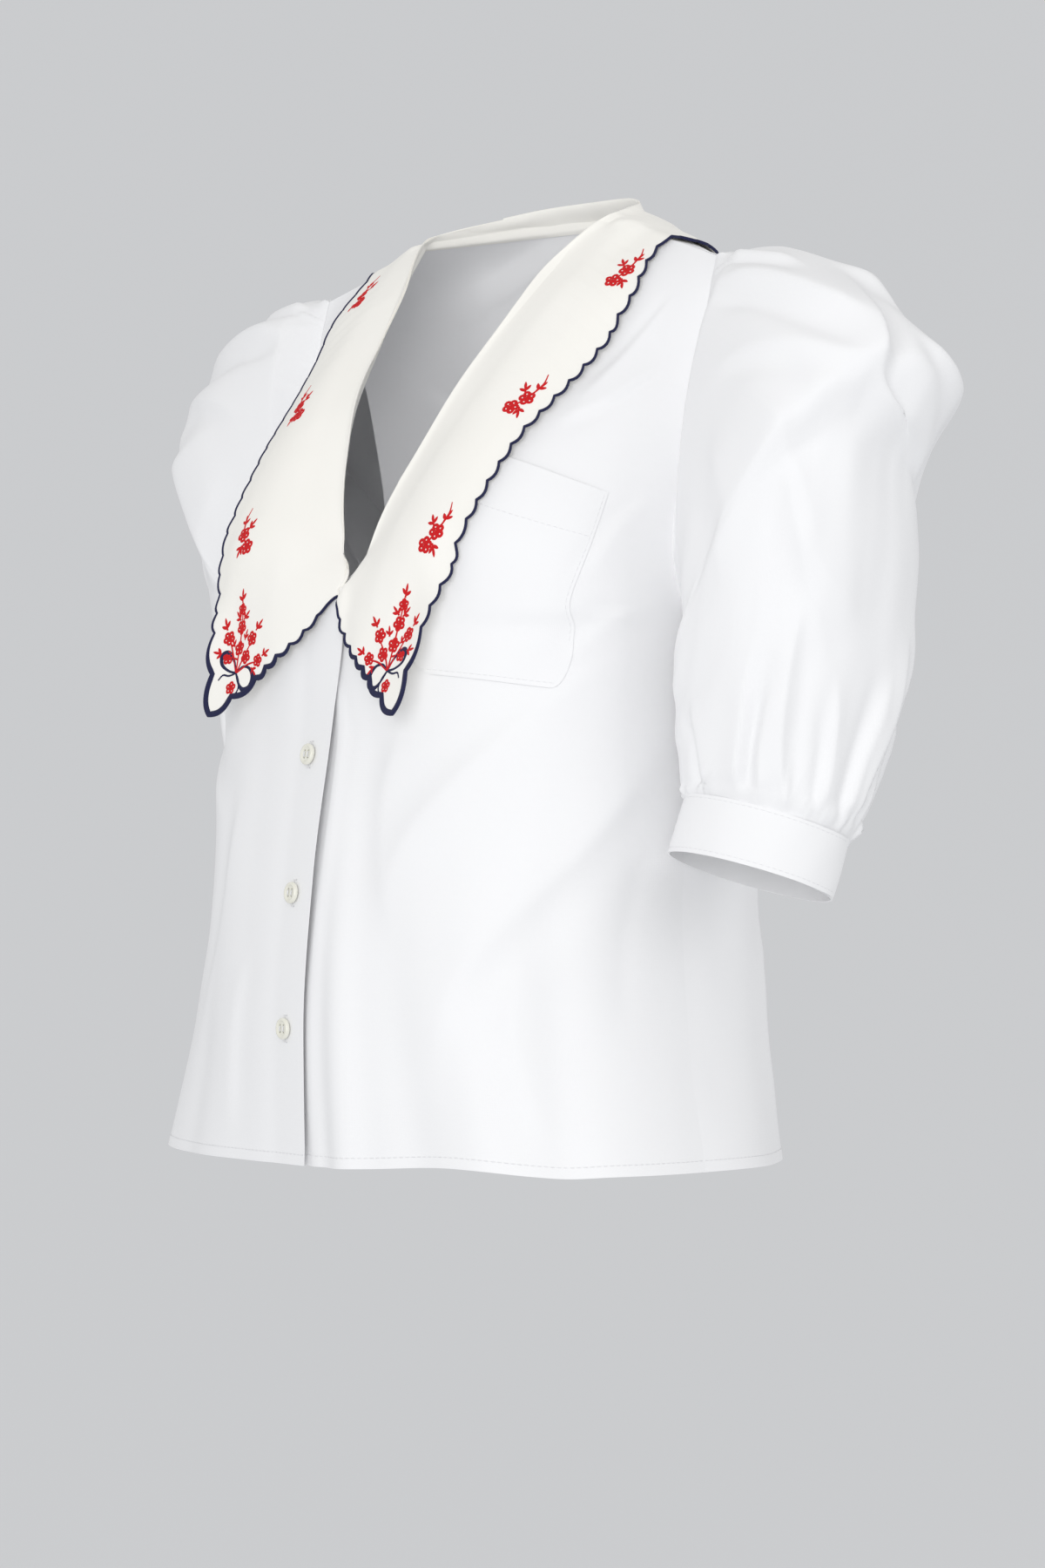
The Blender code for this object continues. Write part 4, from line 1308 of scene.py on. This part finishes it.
def makeTopstitching():
    shape, layer = newThreadMesh()

    def sew(height, count, spotAt):
        spots = [spotAt(i / count) for i in range(count + 1)]
        stitchRun(shape, layer, [(point + normal * height, normal) for point, normal in spots])

    top = panelLift + body["thickness"]
    hem = body["hemDepth"] / form["lowRowDepth"]
    low = form["cuffDepth"] - cuff["edgeStitch"]
    wall = cuff["thickness"]
    first, run = cuff["stitches"]
    end = 1.0 - cuff["edgeStitch"] / cuff["round"]
    for side in (1.0, -1.0):
        sew(top, 200, lambda t: frontSpot(t, frontLast - hem, side))
        sew(top, 200, lambda t: backSpot(t, backLast - hem, side))
        for down in (cuff["seamStitch"], low):
            sew(wall, 120, lambda t: cuffSpot(first + run * t, down, side))
        sew(wall, 30, lambda t: cuffSpot(end, 2.0 + (low - 2.0) * t, side))
    wall = pocket["thickness"]
    edge = pocket["edge"] / pocket["wide"]
    for across in (edge, 1.0 - edge):
        sew(wall, 90, lambda t: pocketSpot(across, 0.01 + 0.86 * t))
    sew(wall, 90, lambda t: pocketSpot(t, 1.0 - edge * 0.7))
    hem = pocket["mouthHem"] / pocket["deep"]
    sew(wall, 60, lambda t: pocketSpot(edge + (1 - 2 * edge) * t, hem))
    piece = finishMesh("topstitching", shape, sewingThread)
    return piece


topstitching = makeTopstitching()
print("stage: topstitching")

# Scalloped edge: a satin ribbon that follows every lobe, heavier round the point.
edging = {"width": 1.55, "tipWidth": 3.6, "height": 0.7, "under": 1.05, "wall": 0.25, "rows": 9,
          # the height where it grows heavier and how far below that it does, and its turn over the edge
          "heavyFrom": -238.0, "heavyOver": 26.0, "wrap": 0.45}


def collarBorder():
    # the collar's outer line from one front edge round the back to the other
    front = range(collar["footRow"], collarRowCount)
    border = [(0, r) for r in front]
    border += [(c, collarRowCount) for c in range(collarColumns + 1)]
    return border + [(collarColumns, r) for r in reversed(front)]


def makeEdging():
    border = collarBorder()
    points = [collarFine[c][r] for c, r in border]
    normals = [collarNormal(c, r) for c, r in border]
    last = len(points) - 1

    def place(u, v):
        i = round(u * last)
        normal = normals[i]
        out = normal.cross(points[min(i + 1, last)] - points[max(i - 1, 0)]).normalized()
        heavy = smoothStep((edging["heavyFrom"] - points[i].z) / edging["heavyOver"])
        width = edging["width"] + (edging["tipWidth"] - edging["width"]) * heavy
        angle = math.pi * (-0.5 + 1.5 * v)
        rise = math.sin(angle) * (edging["height"] if v > 1.0 / 3.0 else edging["under"])
        wrap = math.cos(angle) * (edging["wrap"] if v < 2.0 / 3.0 else width - edging["wrap"])
        return points[i] + out * wrap + normal * rise

    shape = gridMesh(last, edging["rows"], place, (runLengths(points)[-1], 3.0))
    piece = finishMesh("collarEdging", shape, navyThread, wall=edging["wall"])
    return piece


edgingPiece = makeEdging()
print("stage: edging")

# Embroidery: small five-petal blossoms and leaf sprays in red, an open ribbon bow in navy.
embroidery = {
    "petal": 2.6,
    "ring": 1.3,
    "strokeWidth": 1.75,
    "leaf": 5.4,
    "leafWidth": 2.1,
    "stem": 1.25,
    # place along the collar and row of the fall of each sprig, on the near and on the far edge
    "sprigs": ((4.9, 7.3, 6.5), (7.3, 7.2, 6.4), (9.6, 7.2, 6.7)),
    "sprigStem": ((6.5, -10), (4, -5), (1.5, 1), (0, 7), (-0.5, 13), (1.5, 19)),
    # blossoms by place, turn and size; sprays by place, angle, size
    "sprigBlossoms": ((6.2, -8.5, 0.3, 1.08), (1.6, 0.4, 0.9, 1.08)),
    "sprigSprays": ((0.2, 7.0, 1.75), (5.0, 3.0, 0.85), (1.4, -6.5, -2.15)),
    "bow": (11.8, 6.9),
    "bowRise": 3.4,
    "stems": (
        ((0, 0), (1.0, 12), (1.6, 26), (3.2, 42)),
        ((0, 0), (-4.6, 9), (-11.5, 19)),
        ((0, 0), (-9, 4.6), (-18.0, 6.4)),
        ((0, 0), (5.8, 11), (12.0, 22)),
        ((1.0, 8), (8.5, 9.5), (15, 9.4)),
    ),
    "blossoms": (
        (1.0, 14.5, 0.2, 0.95), (1.8, 26.5, 0.8, 0.95), (3.0, 37.0, 0.4, 0.8), (-10.6, 19.5, 0.1, 0.95),
        (-6.4, 9.2, 0.9, 0.92), (-17.6, 6.8, 0.5, 0.85), (11.6, 20.5, 0.7, 0.95), (9.0, 9.0, 0.2, 0.9),
        (1.8, -8.6, 0.3, 0.85),
    ),
    "sprays": (
        (3.4, 41.0, 1.45, 1.0), (0.6, 31.0, 2.3, 0.9), (3.4, 30.5, 0.8, 0.9), (-13.6, 24.0, 2.2, 1.0),
        (14.2, 25.0, 1.1, 1.0), (13.6, 11.0, 0.1, 0.95), (-21.5, 9.4, 2.6, 0.9), (-12.5, 2.8, 3.9, 0.85),
        (-3.4, 19.0, 1.8, 0.8), (5.6, 15.5, 0.9, 0.75),
    ),
    # the ribbon's lines from its knot, their widths, height and steps: two loops and two tails
    "ribbon": (
        (((0, 0), (-5.0, 3.4), (-10.8, 2.6), (-14.6, -2.2), (-13.4, -8.2), (-8.0, -9.6), (-3.2, -5.2),
          (0, 0)),
         (1.6, 1.6, 1.8, 3.0, 3.4, 2.8, 1.5, 1.4), 0.5, 32),
        (((0, 0), (3.6, 7), (9.2, 11.8), (13.6, 10.4), (12.6, 5), (6.6, 1.4), (0, 0)),
         (1.6, 1.8, 3.0, 3.2, 2.2, 1.5, 1.4), 0.5, 30),
        (((0, 0), (-3.4, -4.5), (-4.6, -9.4), (-2.4, -13.2)), (1.2, 1.2, 1.0), 0.4, 10),
        (((0, 0), (5.4, -1.6), (10.0, -1.2), (12.8, -4.4)), (1.2, 1.2, 1.0), 0.4, 10),
    ),
}


def collarPlace(part, row, side):
    # the fine surface's point nearest to a place of the table
    k = min(range(len(evenPlaces)), key=lambda i: abs(evenPlaces[i] - part))
    c = min(max((halfScallops + side * k) * collar["columnsPerScallop"], 0), collarColumns)
    r = round(row * collar["rowsPerStep"])
    return collarFine[c][r].copy(), collarNormal(c, r)


class Needle:
    # draws on the collar in millimetres from an anchor: x away from the front edge, y up
    def __init__(self, shape, layer, anchor, normal, up, mirror):
        self.shape = shape
        self.layer = layer
        self.anchor = anchor
        self.up = (up - normal * up.dot(normal)).normalized()
        self.right = self.up.cross(normal).normalized() * mirror

    def spot(self, x, y):
        wanted = self.anchor + self.right * x + self.up * y
        near, normal, _, _ = collarTree.find_nearest(wanted)
        return near + normal * 0.02, normal

    def line(self, points, widths, height):
        addStroke(self.shape, self.layer, [self.spot(x, y) for x, y in points], widths, height)

    def curve(self, points, widths, height=0.4, steps=12):
        # a smooth line through a few points, its width given at even places along it
        ends = [Vector(point) for point in points]
        fine = [clampedCurve(ends, k * (len(ends) - 1) / steps) for k in range(steps + 1)]
        marks = [Vector((width, 0.0)) for width in widths]
        wide = [clampedCurve(marks, k * (len(marks) - 1) / steps).x for k in range(steps + 1)]
        self.line([(p.x, p.y) for p in fine], wide, height)

    def leaf(self, x, y, angle, length, width):
        dx, dy = math.cos(angle), math.sin(angle)
        steps = 6
        points = [(x + dx * length * k / steps, y + dy * length * k / steps) for k in range(steps + 1)]
        bulge = [math.sin(math.pi * (0.08 + 0.86 * k / steps)) ** 0.8 for k in range(steps + 1)]
        self.line(points, [width * max(0.15, share) for share in bulge], 0.45)

    def petal(self, x, y, angle, size):
        # an outlined petal with a small bare middle
        steps = 10
        reach = embroidery["petal"] * size
        ring = embroidery["ring"] * size
        cx, cy = x + math.cos(angle) * reach, y + math.sin(angle) * reach
        points = []
        for k in range(steps + 1):
            t = angle + math.pi + 2.0 * math.pi * k / steps
            points.append((cx + math.cos(t) * ring, cy + math.sin(t) * ring))
        self.line(points, [embroidery["strokeWidth"] * size] * (steps + 1), 0.42)

    def blossom(self, x, y, turn, size):
        for k in range(5):
            self.petal(x, y, turn + 2.0 * math.pi * k / 5.0, size)
        self.leaf(x - 0.9 * size, y, 0.0, 1.8 * size, 1.9 * size)

    def spray(self, x, y, angle, size=1.0):
        # a short stem with a leaf at its tip and one on each side
        dx, dy = math.cos(angle), math.sin(angle)
        self.curve([(x, y), (x + dx * 3.4 * size, y + dy * 3.4 * size)], (embroidery["stem"],) * 2, 0.35, 4)
        leaf = embroidery["leaf"] * size
        width = embroidery["leafWidth"] * size
        self.leaf(x + dx * 2.6 * size, y + dy * 2.6 * size, angle + 0.06, leaf, width * 0.85)
        self.leaf(x + dx * 1.6 * size, y + dy * 1.6 * size, angle + 0.78, leaf * 0.85, width)
        self.leaf(x + dx * 1.2 * size, y + dy * 1.2 * size, angle - 0.86, leaf * 0.8, width)


def bowNeedle(shape, layer, side):
    anchor, normal = collarPlace(*embroidery["bow"], side)
    anchor.z += embroidery["bowRise"]
    return Needle(shape, layer, anchor, normal, Vector((0, 0, 1)), side)


def makeEmbroidery():
    shape, layer = newThreadMesh()
    thin = embroidery["stem"]
    for side in (1, -1):
        for part, nearRow, farRow in embroidery["sprigs"]:
            # here x runs away from the collar's outer edge and y along it, towards the neck
            row = nearRow if side > 0 else farRow
            anchor, normal = collarPlace(part, row, side)
            further, _ = collarPlace(part - 0.6, row, side)
            needle = Needle(shape, layer, anchor, normal, further - anchor, -side)
            needle.curve(embroidery["sprigStem"], (thin, thin, thin, 0.7), 0.35)
            for numbers in embroidery["sprigBlossoms"]:
                needle.blossom(*numbers)
            for numbers in embroidery["sprigSprays"]:
                needle.spray(*numbers)
        needle = bowNeedle(shape, layer, side)
        for stem in embroidery["stems"]:
            needle.curve(stem, (thin, thin, 0.8), 0.35, 14)
        for numbers in embroidery["blossoms"]:
            needle.blossom(*numbers)
        for numbers in embroidery["sprays"]:
            needle.spray(*numbers)
    piece = finishMesh("collarBlossoms", shape, redThread)
    return piece


def makeBows():
    # outlined in navy, heavier on the outside of each loop
    shape, layer = newThreadMesh()
    for side in (1, -1):
        needle = bowNeedle(shape, layer, side)
        for points, widths, height, steps in embroidery["ribbon"]:
            needle.curve(points, widths, height, steps)
    piece = finishMesh("collarBows", shape, navyThread)
    return piece


blossomPiece = makeEmbroidery()
bowPiece = makeBows()
print("stage: embroidery")

# Buttons: four holes, sewn with two bars of thread, each in a worked buttonhole.
button = {"diameter": 12.0, "thickness": 2.6, "hole": 1.7, "pitch": 3.4, "buttonhole": 14.5,
          "recess": 0.85}
frontTree = surfaceTree([frontRight])


def buttonFrame(node):
    low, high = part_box(node)
    middle = (low + high) * 0.5 / mm
    normal = frontTree.find_nearest(middle)[1]
    side = Vector((0, 0, 1)).cross(normal).normalized()
    up = normal.cross(side).normalized()
    return middle, normal, side, up


def makeButton(name, node):
    middle, normal, side, up = buttonFrame(node)
    radius = button["diameter"] / 2.0
    depth = button["thickness"]
    profile = ((0.0, 0.0), (radius - 0.9, 0.0), (radius - 0.25, 0.35), (radius, 1.0), (radius - 0.05, 1.7),
               (radius - 0.45, 2.35), (radius - 1.0, depth), (radius - 1.7, depth - 0.12),
               (radius - 2.3, depth - 0.7), (0.0, depth - button["recess"]))
    blank = addObject("blank", meshFrom("blank", spinProfile(profile, 48, 0.00001)))
    holes = bmesh.new()
    for x in (-0.5, 0.5):
        for y in (-0.5, 0.5):
            spot = Vector((x * button["pitch"], y * button["pitch"], 1.3)) * mm
            bmesh.ops.create_cone(holes, cap_ends=True, segments=20, radius1=button["hole"] * 0.5 * mm,
                                  radius2=button["hole"] * 0.5 * mm, depth=6.0 * mm,
                                  matrix=Matrix.Translation(spot))
    cutter = addObject("holes", meshFrom("holes", holes))
    cut = blank.modifiers.new("Holes", "BOOLEAN")
    cut.operation = "DIFFERENCE"
    cut.object = cutter
    bpy.context.view_layer.update()
    made = bpy.data.meshes.new_from_object(blank.evaluated_get(bpy.context.evaluated_depsgraph_get()))
    for item in (cutter, blank):
        bpy.data.objects.remove(item, do_unlink=True)
    base = middle - normal * (button["thickness"] * 0.5)
    turn = Matrix((side, up, normal)).transposed().to_4x4()
    made.transform(Matrix.Translation(base * mm) @ turn)
    made.name = name
    made.materials.clear()
    made.materials.append(pearl)
    made.shade_smooth()
    made.set_sharp_from_angle(angle=math.radians(35.0))
    piece = addObject(name, made)
    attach(piece, "root")
    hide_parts(node)


def makeButtonThread():
    shape, layer = newThreadMesh()
    half = button["pitch"] * 0.5
    for node in ("button_1", "button_2", "button_3"):
        middle, normal, side, up = buttonFrame(node)
        base = middle + normal * (button["thickness"] * 0.5 - button["recess"])
        for x in (-half, half):
            bar = ((-half, -0.4), (-half * 0.6, 0.35), (0, 0.5), (half * 0.6, 0.35), (half, -0.4))
            line = [base + side * x + up * y + normal * rise for y, rise in bar]
            for shift in (-0.3, 0.3):
                addStroke(shape, layer, [(point + side * shift, normal) for point in line], [0.5] * 5, 0.25)
    piece = finishMesh("buttonThread", shape, sewingThread)


def addButtonhole(shape, layer, middle, normal, way, tree, length):
    # two close satin bars with a bar tack at each end
    side = normal.cross(way).normalized()

    def settle(point):
        near, facing, _, _ = tree.find_nearest(point)
        return near + facing * 0.55, facing

    for shift in (-0.85, 0.85):
        spots = [settle(middle + side * shift + way * (length * (k / 12.0 - 0.5))) for k in range(13)]
        addStroke(shape, layer, spots, [1.1] * 13, 0.4)
    for end in (-0.5, 0.5):
        across = [side * (1.5 * (k / 4.0 - 0.5) * 2.0) for k in range(5)]
        spots = [settle(middle + way * (length * end) + shift) for shift in across]
        addStroke(shape, layer, spots, [0.9] * 5, 0.45)


def makeButtonholes():
    shape, layer = newThreadMesh()
    for node in ("button_1", "button_2", "button_3"):
        middle, normal, _, up = buttonFrame(node)
        addButtonhole(shape, layer, middle, normal, up, frontTree, button["buttonhole"])
    back, down, length = cuff["hole"]
    for side, piece in ((1.0, cuffLeft), (-1.0, cuffRight)):
        point, normal = cuffSpot(1.0 - back / cuff["round"], down, side)
        further, _ = cuffSpot(1.0 - (back - 1.0) / cuff["round"], down, side)
        way = (further - point).normalized()
        tree = surfaceTree([piece])
        addButtonhole(shape, layer, point + normal * cuff["thickness"], normal, way, tree, length)
    piece = finishMesh("buttonholes", shape, sewingThread)
    return piece


for number in (1, 2, 3):
    makeButton(f"button{number}", f"button_{number}")
makeButtonThread()
buttonholes = makeButtonholes()
print("stage: buttons")

# Studio: a pale floor that sweeps up all round, soft boxes and even light.
studio = {
    "floor": -1450.0,
    "radius": 3600.0,
    "sweep": 1500.0,
    "wall": 3200.0,
    "backdrop": "#D2D3D5",
    "glow": 0.66,
    "ambient": 0.70,
    "key": 39.0,
    "fill": 13.0,
}


def makeBackdrop():
    points = [(0.0, 0.0), (studio["radius"] * 0.5, 0.0), (studio["radius"], 0.0)]
    for k in range(1, 13):
        angle = math.radians(90.0 * k / 12)
        points.append((studio["radius"] + studio["sweep"] * math.sin(angle),
                       studio["sweep"] * (1.0 - math.cos(angle))))
    points.append((studio["radius"] + studio["sweep"], studio["wall"]))
    mesh = meshFrom("backdrop", spinProfile([(x, studio["floor"] + z) for x, z in points], 64, 0.0001))
    mesh.shade_smooth()
    made, _, shader = startMaterial("painted studio wall", "#828384", 0.9)
    shader.inputs["Emission Color"].default_value = hexColour(studio["backdrop"])
    shader.inputs["Emission Strength"].default_value = studio["glow"]
    mesh.materials.append(made)
    addObject("backdrop", mesh)


def makeLight(name, place, aim, size, power):
    data = bpy.data.lights.new(name, "AREA")
    data.shape = "RECTANGLE"
    data.size, data.size_y = size
    data.energy = power
    lamp = addObject(name, data)
    way = Vector(place) - Vector(aim)
    lamp.matrix_world = Matrix.Translation(Vector(place)) @ way.to_track_quat("Z", "Y").to_matrix().to_4x4()


def makeStudio():
    makeBackdrop()
    middle = (0.0, 0.0, -0.3)
    makeLight("keyLight", (1.8, -2.8, 0.0), middle, (2.0, 2.2), studio["key"])
    makeLight("fillLight", (3.2, 0.6, 0.0), middle, (1.8, 2.0), studio["fill"])
    world = bpy.data.worlds.new("studio air")
    world.use_nodes = True
    world.node_tree.nodes["Background"].inputs["Color"].default_value = hexColour("#FFFFFF")
    world.node_tree.nodes["Background"].inputs["Strength"].default_value = studio["ambient"]
    bpy.context.scene.world = world
    bpy.context.scene.view_settings.view_transform = "Standard"


makeStudio()
print("stage: studio")
